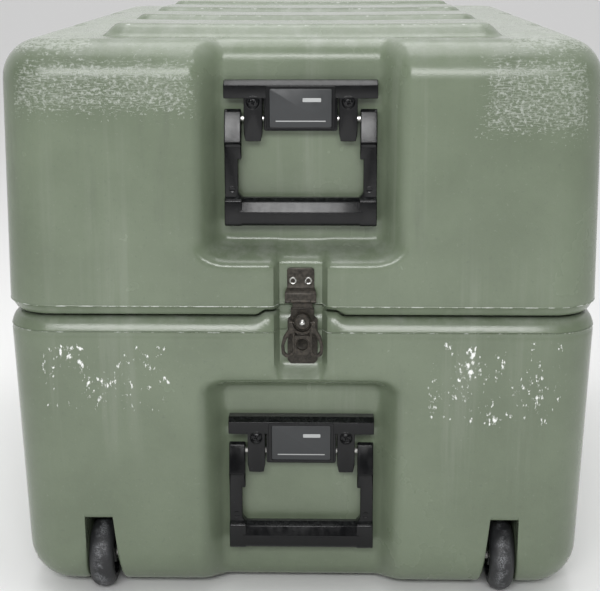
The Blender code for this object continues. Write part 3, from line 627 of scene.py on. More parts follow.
def lathe(profile, segments, axis, centre=(0.0, 0.0, 0.0)):
    # profile of (along, radius) turned about an axis; a zero radius end is closed to a point
    profile = np.array(profile)
    closed = profile[0, 1] > 0
    body = profile if closed else profile[1:-1]
    angle = np.arange(segments) * 2 * math.pi / segments
    along = np.repeat(body[:, 0], segments)
    a = (body[:, 1:2] * np.cos(angle)).ravel()
    b = (body[:, 1:2] * np.sin(angle)).ravel()
    points = np.column_stack({"X": (along, a, b), "Y": (a, along, b)}[axis])
    quads = stripQuads(len(body), segments, closed)
    polygons = []
    if not closed:
        tips = np.zeros((2, 3))
        tips[:, "XY".index(axis)] = profile[[0, -1], 0]
        points = np.concatenate([points, tips])
        i = np.arange(segments)
        j = (i + 1) % segments
        last = (len(body) - 1) * segments
        polygons = list(np.stack([j, i, np.full(segments, len(points) - 2)], 1))
        polygons += list(np.stack([last + i, last + j, np.full(segments, len(points) - 1)], 1))
    return points + np.array(centre), quads, polygons


def arcPoints(centre, radius, start, end, steps):
    angle = np.radians(np.linspace(start, end, steps + 1))
    return list(zip(centre[0] + radius * np.cos(angle), centre[1] + radius * np.sin(angle)))


def mirrorPart(part):
    points, quads, polygons = part
    return points * np.array([-1.0, 1.0, 1.0]), quads, polygons


def atSeat(part, seat, shift):
    points, quads, polygons = part
    return seatPlace(points, seat, shift), quads, polygons


def markEdges(piece):
    # wear value of each vertex: 1 on a folded edge, less where the mesh is flat
    mesh = piece.data
    count = len(mesh.vertices)
    normals = np.zeros(len(mesh.polygons) * 3, np.float32)
    mesh.polygons.foreach_get("normal", normals)
    normals = normals.reshape(-1, 3).astype(float)
    corner = np.zeros(len(mesh.loops), np.int32)
    mesh.loops.foreach_get("vertex_index", corner)
    totals = np.zeros(len(mesh.polygons), np.int32)
    mesh.polygons.foreach_get("loop_total", totals)
    face = np.repeat(np.arange(len(totals)), totals)
    summed = np.stack([np.bincount(corner, normals[face, i], count) for i in range(3)], 1)
    number = np.maximum(np.bincount(corner, minlength=count), 1)
    spread = 1 - np.linalg.norm(summed, axis=1) / number
    value = np.clip(spread / 0.24, 0, 1)
    storeValue(piece, "edgeWear", value)
    return piece


def storeValue(piece, name, values):
    layer = piece.data.attributes.new(name, "FLOAT", "POINT")
    layer.data.foreach_set("value", np.asarray(values, np.float32))


def finishPiece(piece, body, material, nodes=()):
    markEdges(piece)
    piece.data.materials.append(material)
    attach(piece, body)
    if nodes:
        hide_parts(*nodes)
    return piece


# carrying handles, measured from the pivot axis
handle = {
    "pivotDepth": 0.028, "lidPivot": 0.190, "basePivot": -0.1575, "back": 0.0097,
    "half": 0.0757, "hoodTop": 0.0374, "hoodFront": -0.0080, "hoodBottom": 0.0200,
    "centreHalf": 0.0362, "centreBottom": -0.0116, "lugInner": 0.0377, "lugOuter": 0.0558,
    "lugBottom": -0.0220, "screwHeight": 0.0160, "screwX": 0.0468, "labelHalf": 0.0303,
    "shoulderInner": 0.0588, "armInner": 0.0622, "armOuter": 0.0753, "barTop": -0.0776, "barBottom": -0.1066,
}


def polarRing(outline, centre, count):
    # the outline sampled at even angles seen from the centre
    step = np.roll(outline, -1, 0) - outline
    dense = np.concatenate([outline + step * t for t in np.linspace(0, 1, 24)[:-1]])
    offset = dense - np.array(centre)
    angle = np.arctan2(offset[:, 1], offset[:, 0])
    order = np.argsort(angle)
    angle, radius = angle[order], np.hypot(offset[:, 0], offset[:, 1])[order]
    want = np.linspace(-math.pi, math.pi, count, endpoint=False)
    around = np.concatenate([angle - 2 * math.pi, angle, angle + 2 * math.pi])
    reach = np.interp(want, around, np.tile(radius, 3))
    return np.column_stack([centre[0] + reach * np.cos(want), centre[1] + reach * np.sin(want)])


def screwLug():
    # a lug whose front face runs into a countersink: outline, then circles down to the screw's dished head
    h = handle
    count = 64
    centre = (h["screwX"], h["screwHeight"])
    front = h["hoodFront"] + 0.0002
    outline = softOutline([(h["lugInner"], h["hoodTop"] - 0.006, 0), (h["lugOuter"], h["hoodTop"] - 0.006, 0),
                           (h["lugOuter"], h["lugBottom"], 0.0030), (h["lugInner"], h["lugBottom"], 0.0030)], 6)
    angle = np.linspace(-math.pi, math.pi, count, endpoint=False)
    rings = [lift(polarRing(outline, centre, count), h["back"] - 0.0002, "Y")]
    for inset, depth in ((0.0, 0.0012), (0.0001, 0.0006), (0.0004, 0.0002), (0.0010, 0.0)):
        rings.append(lift(polarRing(insetOutline(outline, inset), centre, count), front + depth, "Y"))
    cross = np.maximum(np.exp(-(np.sin(angle + 0.4) / 0.26) ** 2), np.exp(-(np.cos(angle + 0.4) / 0.26) ** 2))
    # radius, depth and how far the cross goes in
    screwRows = [(0.0072, 0.0, 0), (0.0069, -0.00025, 0), (0.0065, -0.0003, 0), (0.0061, 0.0001, 0),
                 (0.0056, 0.0010, 0), (0.0048, 0.0014, 0), (0.0042, 0.0012, 0), (0.0034, 0.0006, 0),
                 (0.0026, 0.0004, 0.3), (0.0018, 0.0004, 1.0), (0.0011, 0.0005, 1.0), (0.0006, 0.0014, 0.2)]
    for radius, depth, pit in screwRows:
        depthRow = front + depth + pit * 0.0011 * cross
        rings.append(np.column_stack([centre[0] + radius * np.cos(angle), depthRow,
                                      centre[1] + radius * np.sin(angle)]))
    return loftRings(rings)


def bracketParts():
    h = handle
    hood = softOutline([(h["back"], h["hoodTop"], 0), (-0.0012, h["hoodTop"], 0.0010),
                        (h["hoodFront"], h["hoodTop"] - 0.0042, 0.0009), (h["hoodFront"], h["hoodBottom"], 0.0012),
                        (h["back"], h["hoodBottom"] + 0.001, 0)], 4)
    parts = [slab(hood, -h["half"], h["half"], 0.0009, "X", 3)]
    lug = screwLug()
    parts += [lug, mirrorPart(lug)]
    front = h["hoodFront"] - 0.0002
    top, low, wide = h["hoodTop"] - 0.0049, h["centreBottom"], h["centreHalf"]
    body = softOutline([(-wide, top, 0), (wide, top, 0), (wide, low, 0.0025), (-wide, low, 0.0025)], 5)
    parts.append(slab(body, front + 0.0006, h["back"] - 0.0003, 0.0012, "Y", 3))
    rim = softOutline([(-wide + 0.0022, top, 0.001), (wide - 0.0022, top, 0.001),
                       (wide - 0.0022, low + 0.0012, 0.0022), (-wide + 0.0022, low + 0.0012, 0.0022)], 4)
    half = h["labelHalf"] + 0.0003
    window = softOutline([(-half, top - 0.0026, 0.0012), (half, top - 0.0026, 0.0012),
                          (half, low + 0.0036, 0.0012), (-half, low + 0.0036, 0.0012)], 4)
    parts.append(ringBand(window, rim, front - 0.0003, front + 0.0014, 0.0004))
    return parts


def labelParts():
    # a blank plate with a thin raised line along its lower edge and a plain strip to write on
    h = handle
    front = h["hoodFront"] - 0.0002
    top, low, wide = h["hoodTop"] - 0.0078, h["centreBottom"] + 0.0040, h["labelHalf"]
    plate = softOutline([(-wide, top, 0.0014), (wide, top, 0.0014),
                         (wide, low, 0.0014), (-wide, low, 0.0014)], 4)
    line = softOutline([(-0.0245, low + 0.0062, 0.0002), (0.0245, low + 0.0062, 0.0002),
                        (0.0245, low + 0.0052, 0.0002), (-0.0245, low + 0.0052, 0.0002)], 2)
    strip = softOutline([(0.0020, top - 0.0090, 0.0006), (0.0200, top - 0.0090, 0.0006),
                         (0.0200, top - 0.0128, 0.0006), (0.0020, top - 0.0128, 0.0006)], 2)
    return [slab(plate, front + 0.0001, front + 0.0012, 0.0002), slab(line, front, front + 0.0006, 0.00004),
            slab(strip, front, front + 0.0006, 0.00004)]


def gripParts():
    h = handle
    parts = []
    side = softOutline([(0.0092, 0.0, 0.0), (0.0075, 0.0062, 0.003), (-0.0010, 0.0096, 0.002),
                        (-0.0042, 0.0070, 0.002), (-0.0132, -0.0222, 0.0006), (-0.0069, -0.0250, 0.001),
                        (-0.0063, -0.0400, 0.001), (0.0046, -0.0400, 0.001), (0.0060, -0.0150, 0.002)], 4)
    shoulder = slab(side, h["shoulderInner"], h["armOuter"], 0.0010, "X", 3)
    parts += [shoulder, mirrorPart(shoulder)]
    arm = softOutline([(h["armOuter"] + 0.0002, -0.0235, 0.0), (h["shoulderInner"] + 0.0003, -0.0235, 0.0),
                       (h["shoulderInner"] + 0.0003, -0.0295, 0.002), (h["armInner"], -0.0385, 0.003),
                       (h["armInner"], -0.0735, 0.005), (h["armInner"] - 0.0050, -0.0800, 0.001),
                       (h["armInner"] - 0.0050, -0.0950, 0.0), (h["armOuter"] + 0.0002, -0.0950, 0.0)], 4)
    arm = slab(arm, -0.0068, 0.0044, 0.0012, "Y", 3)
    parts += [arm, mirrorPart(arm)]
    end = softOutline([(-0.0122, -0.0800, 0.0030), (-0.0060, h["barTop"] + 0.0008, 0.002),
                       (0.0050, h["barTop"] + 0.0008, 0.003), (0.0050, h["barBottom"], 0.004),
                       (-0.0130, h["barBottom"], 0.0045)], 4)
    block = slab(end, h["shoulderInner"] - 0.0006, h["half"], 0.0012, "X", 3)
    parts += [block, mirrorPart(block)]
    middle = softOutline([(-0.0128, -0.0918, 0.0015), (-0.0096, -0.0820, 0.0015),
                          (-0.0040, h["barTop"] - 0.0008, 0.0025),
                          (0.0049, h["barTop"] - 0.0006, 0.004), (0.0049, h["barBottom"] + 0.0002, 0.005),
                          (-0.0128, h["barBottom"] + 0.0002, 0.006)], 6)
    parts.append(slab(middle, -0.0620, 0.0620, 0.0010, "X", 2))
    for x in np.linspace(-0.031, 0.041, 13):
        dash = softOutline([(x - 0.0016, -0.0930, 0.0004), (x + 0.0016, -0.0930, 0.0004),
                            (x + 0.0016, -0.0945, 0.0004), (x - 0.0016, -0.0945, 0.0004)], 2)
        parts.append(slab(dash, -0.0131, -0.0120, 0.0002))
    face, radius = -0.0069, 0.0034
    mark = lathe([(face + 0.0010, 0.0), (face + 0.0010, radius), (face - 0.0001, radius),
                  (face - 0.0002, radius - 0.0004), (face, radius - 0.0007), (face, 0.0)], 28, "Y",
                 (0.0680, 0.0, -0.0700))
    parts += [mark, mirrorPart(mark)]
    return parts


def makeHandles(materials):
    shapes = {"bracket": bracketParts(), "label": labelParts(), "grip": gripParts()}
    for end in ("front", "back"):
        for shellName, height in (("lid", handle["lidPivot"]), ("base", handle["basePivot"])):
            shift = (0.0, handle["pivotDepth"], height)
            name = f"{shellName}_{end}_handle"
            for shape, parts in shapes.items():
                piece = joinPieces(f"{shellName}{end.title()}Handle{shape.title()}",
                                   [atSeat(part, end, shift) for part in parts])
                if shape == "label":
                    storeValue(piece, "printed", np.repeat([0.0, 1.0, 1.0], [len(part[0]) for part in parts]))
                body = f"{shellName}_{end}_grip" if shape == "grip" else shellName
                nodes = () if shape == "label" else (f"{name}_{shape}",)
                material = materials["labelSheet"] if shape == "label" else materials["blackPlastic"]
                finishPiece(piece, body, material, nodes)
    print("handles made")


# twist latches, measured from the parting line; y is depth behind the face of the case
latch = {"step": 0.0018, "hub": -0.0107, "foldDepth": -0.0019, "sheet": 0.0020, "keeperHalf": 0.0136,
         "lipHalf": 0.0158, "rivetX": 0.0078, "rivetHeight": 0.0292}


def ribbon(path, halfWidths, thickness, edge):
    # a bent strip: at each place on its path a rounded bar section, at right angles to the path
    path = np.array(path)
    ahead = np.gradient(path, axis=0)
    ahead = ahead / np.linalg.norm(ahead, axis=1)[:, None]
    across = np.column_stack([ahead[:, 1], -ahead[:, 0]])
    section = softOutline([(-1, -1, 0), (1, -1, 0), (1, 1, 0), (-1, 1, 0)])
    rings = []
    for (y, z), (ny, nz), half in zip(path, across, halfWidths):
        corner = softOutline([(sx * half, sy * thickness / 2, edge) for sx, sy in section], 2)
        rings.append(np.column_stack([corner[:, 0], y + corner[:, 1] * ny, z + corner[:, 1] * nz]))
    return loftRings(rings)


def keeperParts():
    k = latch
    half = k["keeperHalf"]
    path = [(0.0137, 0.0422), (0.0137, 0.0418), (0.0137, 0.0410), (0.0137, 0.0400), (0.0137, 0.0300),
            (0.0137, 0.0225), (0.0132, 0.0213), (0.0120, 0.0203), (0.0075, 0.0186), (0.0066, 0.0178),
            (0.0062, 0.0165), (0.0062, 0.0140), (0.0062, 0.0110), (0.0062, 0.0095)]
    widths = [half - 0.0024, half - 0.0014, half - 0.0005, half, half, half, half + 0.0003, half + 0.0010,
              half + 0.0018, k["lipHalf"], k["lipHalf"], k["lipHalf"], k["lipHalf"], k["lipHalf"]]
    parts = [ribbon(path, widths, k["sheet"], 0.0006)]
    roll = 0.0020
    parts.append(lathe([(-0.0100, 0.0), (-0.0100, roll - 0.0004), (-0.0096, roll), (0.0096, roll),
                        (0.0100, roll - 0.0004), (0.0100, 0.0)], 24, "X", (0.0, 0.0062, 0.0095)))
    tube = lathe([(0.0104, 0.0), (0.0104, 0.0012), (0.0108, 0.0016), (0.0152, 0.0016), (0.0157, 0.0012),
                  (0.0157, 0.0)], 20, "X", (0.0, 0.0060, 0.0090))
    parts += [tube, mirrorPart(tube)]
    for z in (0.0390, 0.0352):
        parts.append(lathe([(0.0140, 0.0), (0.0140, 0.0007), (0.0124, 0.0007), (0.0123, 0.0003), (0.0123, 0.0)],
                           12, "Y", (0.0, 0.0, z)))
    return parts


def rivetParts():
    # tubular rivets: a rolled rim around a hole that ends on the sheet below
    parts = []
    for x in (-latch["rivetX"], latch["rivetX"]):
        rim = [(0.0138, 0.0040), (0.0124, 0.0040), (0.0118, 0.0037), (0.0115, 0.0031), (0.0117, 0.0025),
               (0.0124, 0.0021), (0.0138, 0.0021)]
        parts.append(lathe(rim, 28, "Y", (x, 0.0, latch["rivetHeight"])))
    return parts


def plateParts():
    outline = softOutline([(-0.0120, -0.0578, 0.0020), (-0.0152, -0.0540, 0.0020), (-0.0152, -0.0110, 0.0020),
                           (-0.0090, -0.0045, 0.0020), (0.0090, -0.0045, 0.0020), (0.0152, -0.0110, 0.0020),
                           (0.0152, -0.0540, 0.0020), (0.0120, -0.0578, 0.0020)], 3)
    return [slab(outline, 0.0128, 0.0146, 0.0004)]


def linkParts():
    parts = []
    outer = softOutline([(-0.0118, -0.0298, 0.0020), (-0.0118, 0.0020, 0.0008), (-0.0100, 0.0026, 0.0008),
                         (-0.0100, 0.0086, 0.0012), (0.0100, 0.0086, 0.0012), (0.0100, 0.0026, 0.0008),
                         (0.0118, 0.0020, 0.0008), (0.0118, -0.0298, 0.0020)], 3)
    centre = (0.0, latch["hub"] - 0.0038)
    around = np.arctan2(outer[:, 1] - centre[1], outer[:, 0] - centre[0])
    window = np.column_stack([centre[0] + 0.0054 * np.cos(around), centre[1] + 0.0082 * np.sin(around)])
    parts.append(ringBand(window, outer, 0.0088, 0.0106, 0.0004))
    bead = softOutline([(0.0078, 0.0000, 0.0008), (0.0078, 0.0016, 0.0006), (0.0090, 0.0018, 0.0004),
                        (0.0090, 0.0000, 0.0002)], 3)
    parts.append(slab(bead, -0.0112, 0.0112, 0.0004, "X"))
    return parts


def hubParts():
    profile = [(0.0123, 0.0), (0.0123, 0.0044), (0.0082, 0.0044), (0.0082, 0.0080), (0.0078, 0.0085),
               (-0.0012, 0.0085), (-0.0017, 0.0083), (-0.0019, 0.0079), (-0.0014, 0.0074), (-0.0004, 0.0071),
               (-0.0004, 0.0045), (-0.0004, 0.0), ]
    parts = [lathe(profile, 48, "Y")]
    stub = [(0.0080, 0.0), (0.0080, 0.0010), (0.0122, 0.0010), (0.0125, 0.0007), (0.0125, 0.0)]
    stub = lathe(stub, 12, "X", (0.0, latch["foldDepth"], 0.0))
    return parts + [stub, mirrorPart(stub)]


def domeParts():
    crown = [(y, x) for x, y in arcPoints((0.0, -0.0006), 0.0036, 0, -90, 7)][:-1]
    dome = [(0.0004, 0.0), (0.0004, 0.0036)] + crown + [(-0.0042, 0.0)]
    return [lathe(dome, 28, "Y")]


def wingParts():
    # a pressed wing: two outer loops, a middle bar with its hole, and a collar around the hub
    parts = []
    loopOuter = [(0.0092, 0.0006, 0.0015), (0.0132, 0.0006, 0.0015), (0.0138, -0.0062, 0.0040),
                 (0.0188, -0.0140, 0.0060), (0.0212, -0.0235, 0.0060), (0.0206, -0.0330, 0.0046),
                 (0.0160, -0.0362, 0.0040), (0.0098, -0.0352, 0.0034), (0.0074, -0.0300, 0.0020),
                 (0.0074, -0.0100, 0.0020)]
    loopInner = [(0.0103, -0.0110, 0.0004), (0.0110, -0.0112, 0.0004), (0.0122, -0.0112, 0.0008),
                 (0.0150, -0.0154, 0.0030), (0.0180, -0.0230, 0.0040), (0.0176, -0.0300, 0.0030),
                 (0.0152, -0.0328, 0.0020), (0.0124, -0.0322, 0.0016), (0.0102, -0.0290, 0.0012),
                 (0.0102, -0.0130, 0.0010)]
    loop = ringBand(softOutline(loopInner, 4), softOutline(loopOuter, 4), -0.0016, 0.0013, 0.0006)
    parts += [loop, mirrorPart(loop)]
    count = 40
    angle = np.linspace(-math.pi, math.pi, count, endpoint=False)
    hole = np.column_stack([0.0058 * np.cos(angle), -0.0222 + 0.0058 * np.sin(angle)])
    middle = softOutline([(-0.0080, -0.0130, 0.001), (0.0080, -0.0130, 0.001), (0.0080, -0.0310, 0.002),
                          (0.0050, -0.0338, 0.002), (-0.0050, -0.0338, 0.002), (-0.0080, -0.0310, 0.002)], 4)
    parts.append(ringBand(hole, polarRing(middle, (0.0, -0.0222), count), -0.0014, 0.0012, 0.0004))
    rimProfile = [(-0.0013, 0.0058), (-0.0019, 0.0062), (-0.0019, 0.0068), (-0.0013, 0.0073),
                  (0.0010, 0.0073), (0.0010, 0.0058)]
    parts.append(lathe(rimProfile, 40, "Y", (0.0, 0.0, -0.0222)))
    collar = np.radians(np.linspace(180, 360, 29))
    path = np.column_stack([np.cos(collar), np.sin(collar)])
    section = [(0.0092, 0.0010), (0.0092, -0.0012), (0.0096, -0.0018), (0.0104, -0.0018), (0.0110, -0.0012),
               (0.0118, -0.0012), (0.0118, 0.0010)]
    rings = [np.array([(radius * cx, depth, radius * cz) for radius, depth in section]) for cx, cz in path]
    parts.append(loftRings(rings))
    ear = lathe([(0.0099, 0.0), (0.0099, 0.0019), (0.0103, 0.0023), (0.0128, 0.0023), (0.0132, 0.0019),
                 (0.0132, 0.0)], 18, "X")
    parts += [ear, mirrorPart(ear)]
    return parts


def makeLatches(materials):
    k = latch
    shapes = {
        "keeper": (keeperParts(), (0.0, 0.0, 0.0), "lid", "blackOxide"),
        "rivets": (rivetParts(), (0.0, 0.0, 0.0), "lid", "brightSteel"),
        "plate": (plateParts(), (k["step"], 0.0, 0.0), "base", "blackOxide"),
        "link": (linkParts(), (k["step"], 0.0, 0.0), "link", "blackOxide"),
        "hub": (hubParts(), (k["step"], 0.0, k["hub"]), "hub", "blackOxide"),
        "dome": (domeParts(), (k["step"], 0.0, k["hub"]), "hub", "brightSteel"),
        "wing": (wingParts(), (k["step"], k["foldDepth"], k["hub"]), "wing", "blackOxide"),
    }
    for seat in ("front", "back", "right_near", "right_far", "left_near", "left_far"):
        label = "".join(word.title() for word in seat.split("_"))
        for shape, (parts, shift, body, material) in shapes.items():
            piece = joinPieces(f"latch{label}{shape.title()}", [atSeat(part, seat, shift) for part in parts])
            body = body if body in ("lid", "base") else f"latch_{seat}_{body}_body"
            nodes = () if shape in ("rivets", "dome") else (f"latch_{seat}_{shape}",)
            finishPiece(piece, body, materials[material], nodes)
    print("latches made")


# wheels, measured from the axle
wheel = {"radius": 0.0375, "width": 0.026, "core": 0.0270, "x": 0.212, "depth": 0.038}


def makeWheels(materials):
    w = wheel
    half = w["width"] / 2
    crown = [(half * math.sin(a), w["radius"] - 0.0105 * (1 - math.cos(a))) for a in
             np.radians(np.linspace(-78, 78, 17))]
    profile = [(-half, w["core"]), (-half, w["radius"] - 0.0095)] + crown + [(half, w["radius"] - 0.0095),
                                                                          (half, w["core"])]
    points, quads, polygons = lathe(profile, 96, "X")
    radius = np.hypot(points[:, 1], points[:, 2])
    turn = np.arctan2(points[:, 2], points[:, 1])
    # small flats and dents worn into the crown: a few summed waves around and across the tyre
    wave = np.sin(9 * turn + 260 * points[:, 0]) * np.sin(23 * turn - 140 * points[:, 0]) \
        + 0.6 * np.sin(41 * turn + 2) * np.cos(520 * points[:, 0])
    worn = np.clip((radius - 0.0330) / 0.004, 0, 1) * (-0.00013 + 0.00012 * wave)
    points[:, 1:] *= (1 + np.minimum(worn, 0) / np.maximum(radius, 1e-4))[:, None]
    for side, label in ((-1, "left"), (1, "right")):
        place = (side * w["x"], w["depth"], w["radius"] - shell["parting"])
        tyre = joinPieces(f"wheel{label.title()}Tyre", [atSeat((points, quads, polygons), "front", place)])
        crownWear = np.exp(-(points[:, 0] / 0.0060) ** 2) * np.clip((radius - 0.0330) / 0.002, 0, 1)
        storeValue(tyre, "crownWear", crownWear)
        finishPiece(tyre, f"wheel_{label}", materials["tyreRubber"], (f"wheel_{label}_tyre",))
    print("wheels made")


# finishes: shared effects are node groups, each material keeps its own shader
def newNode(tree, kind, inputs=None, **settings):
    node = tree.nodes.new("ShaderNode" + kind)
    for key, value in settings.items():
        setattr(node, key, value)
    for key, value in (inputs or {}).items():
        if isinstance(value, bpy.types.NodeSocket):
            tree.links.new(value, node.inputs[key])
        else:
            node.inputs[key].default_value = value
    return node


def mathOf(tree, operation, a, b=0.5, clamp=False):
    return newNode(tree, "Math", {0: a, 1: b}, operation=operation, use_clamp=clamp).outputs[0]


def smoothRange(tree, value, low, high, toLow=0.0, toHigh=1.0):
    node = newNode(tree, "MapRange", {"Value": value, "From Min": low, "From Max": high, "To Min": toLow,
                                      "To Max": toHigh}, interpolation_type="SMOOTHSTEP")
    return node.outputs["Result"]


def noiseOf(tree, place, scale, detail=3.0, roughness=0.55, stretch=None, turn=(0.0, 0.0, 0.0)):
    if stretch:
        place = newNode(tree, "Mapping", {"Vector": place, "Scale": stretch, "Rotation": turn}).outputs[0]
    return newNode(tree, "TexNoise", {"Vector": place, "Scale": scale, "Detail": detail,
                                      "Roughness": roughness}).outputs["Fac"]


def mixOf(tree, factor, a, b):
    node = newNode(tree, "Mix", data_type="RGBA")
    for index, value in ((0, factor), (6, a), (7, b)):
        if isinstance(value, bpy.types.NodeSocket):
            tree.links.new(value, node.inputs[index])
        else:
            node.inputs[index].default_value = value if index == 0 else (*value, 1.0)
    return node.outputs[2]


def startGroup(name, inputs, output):
    tree = bpy.data.node_groups.new(name, "ShaderNodeTree")
    for label, kind, value in inputs:
        socket = tree.interface.new_socket(name=label, in_out="INPUT", socket_type="NodeSocket" + kind)
        if value is not None:
            socket.default_value = value
    tree.interface.new_socket(name=output, in_out="OUTPUT", socket_type="NodeSocketFloat")
    return tree, tree.nodes.new("NodeGroupInput").outputs, tree.nodes.new("NodeGroupOutput").inputs


def makeGroups():
    groups = {}
    # grain: fine noise plus a broad ripple, times the strength
    tree, given, result = startGroup("mouldGrain", [("Place", "Vector", None), ("Scale", "Float", 700.0),
                                                    ("Ripple", "Float", 0.5)], "Height")
    fine = newNode(tree, "TexNoise", {"Vector": given["Place"], "Scale": given["Scale"],
                                      "Detail": 2.0}).outputs["Fac"]
    broadScale = mathOf(tree, "MULTIPLY", given["Scale"], 0.09)
    broad = newNode(tree, "TexNoise", {"Vector": given["Place"], "Scale": broadScale,
                                       "Detail": 2.0}).outputs["Fac"]
    ripple = mathOf(tree, "MULTIPLY", broad, given["Ripple"])
    tree.links.new(mathOf(tree, "ADD", fine, ripple), result["Height"])
    groups["mouldGrain"] = tree
    # rubbed edges: the edge value plus broken noise, kept where the sum passes one
    tree, given, result = startGroup("rubbedEdge", [("Place", "Vector", None), ("Edge", "Float", 0.0),
                                                    ("Scale", "Float", 300.0), ("Amount", "Float", 0.5)], "Mask")
    broken = newNode(tree, "TexNoise", {"Vector": given["Place"], "Scale": given["Scale"], "Detail": 5.0,
                                        "Roughness": 0.7}).outputs["Fac"]
    total = mathOf(tree, "ADD", mathOf(tree, "MULTIPLY", given["Edge"], given["Amount"]), broken)
    edgeOnly = smoothRange(tree, given["Edge"], 0.05, 0.5)
    kept = smoothRange(tree, total, 0.98, 1.10)
    tree.links.new(mathOf(tree, "MULTIPLY", kept, edgeOnly, True), result["Mask"])
    groups["rubbedEdge"] = tree
    # scuffs: two crossing sets of thin drawn-out noise and a patchy one, inside an area value
    tree, given, result = startGroup("scuffMarks", [("Place", "Vector", None), ("Area", "Float", 0.0),
                                                    ("Scale", "Float", 90.0)], "Mask")
    first = newNode(tree, "Mapping", {"Vector": given["Place"], "Scale": (0.35, 1.0, 3.2),
                                      "Rotation": (0.0, 0.65, 0.0)}).outputs[0]
    second = newNode(tree, "Mapping", {"Vector": given["Place"], "Scale": (0.4, 1.0, 3.0),
                                       "Rotation": (0.0, -1.0, 0.0)}).outputs[0]
    marks = []
    for place in (first, second, given["Place"]):
        marks.append(newNode(tree, "TexNoise", {"Vector": place, "Scale": given["Scale"], "Detail": 6.0,
                                                "Roughness": 0.72}).outputs["Fac"])
    area = mathOf(tree, "MULTIPLY", given["Area"], 0.30)
    lines = mathOf(tree, "ADD", mathOf(tree, "MAXIMUM", marks[0], marks[1]), area)
    patches = mathOf(tree, "ADD", marks[2], area)
    both = mathOf(tree, "MAXIMUM", smoothRange(tree, lines, 0.77, 0.88),
                  smoothRange(tree, patches, 0.74, 0.85))
    near = smoothRange(tree, given["Area"], 0.0, 0.35)
    tree.links.new(mathOf(tree, "MULTIPLY", both, near, True), result["Mask"])
    groups["scuffMarks"] = tree
    # dust: upward facing, broken by noise
    tree, given, result = startGroup("dustFilm", [("Place", "Vector", None), ("Scale", "Float", 60.0),
                                                  ("Amount", "Float", 0.3)], "Mask")
    normal = newNode(tree, "NewGeometry").outputs["Normal"]
    up = smoothRange(tree, newNode(tree, "SeparateXYZ", {0: normal}).outputs["Z"], 0.2, 0.95)
    speck = newNode(tree, "TexNoise", {"Vector": given["Place"], "Scale": given["Scale"], "Detail": 5.0,
                                       "Roughness": 0.65}).outputs["Fac"]
    dust = mathOf(tree, "MULTIPLY", up, smoothRange(tree, speck, 0.35, 0.75))
    tree.links.new(mathOf(tree, "MULTIPLY", dust, given["Amount"], True), result["Mask"])
    groups["dustFilm"] = tree
    return groups


def effect(tree, group, inputs):
    node = tree.nodes.new("ShaderNodeGroup")
    node.node_tree = group
    for key, value in inputs.items():
        if isinstance(value, bpy.types.NodeSocket):
            tree.links.new(value, node.inputs[key])
        else:
            node.inputs[key].default_value = value
    return node.outputs[0]


def startMaterial(name):
    material = bpy.data.materials.new(name)
    material.use_nodes = True
    tree = material.node_tree
    place = newNode(tree, "TexCoord").outputs["Object"]
    return material, tree, tree.nodes["Principled BSDF"], place


def attributeOf(tree, name):
    return newNode(tree, "Attribute", attribute_name=name).outputs["Fac"]


def setSurface(tree, shader, colour, roughness, height, bump, distance=0.001):
    tree.links.new(colour, shader.inputs["Base Color"])
    tree.links.new(roughness, shader.inputs["Roughness"])
    node = newNode(tree, "Bump", {"Strength": bump, "Distance": distance, "Height": height})
    tree.links.new(node.outputs[0], shader.inputs["Normal"])


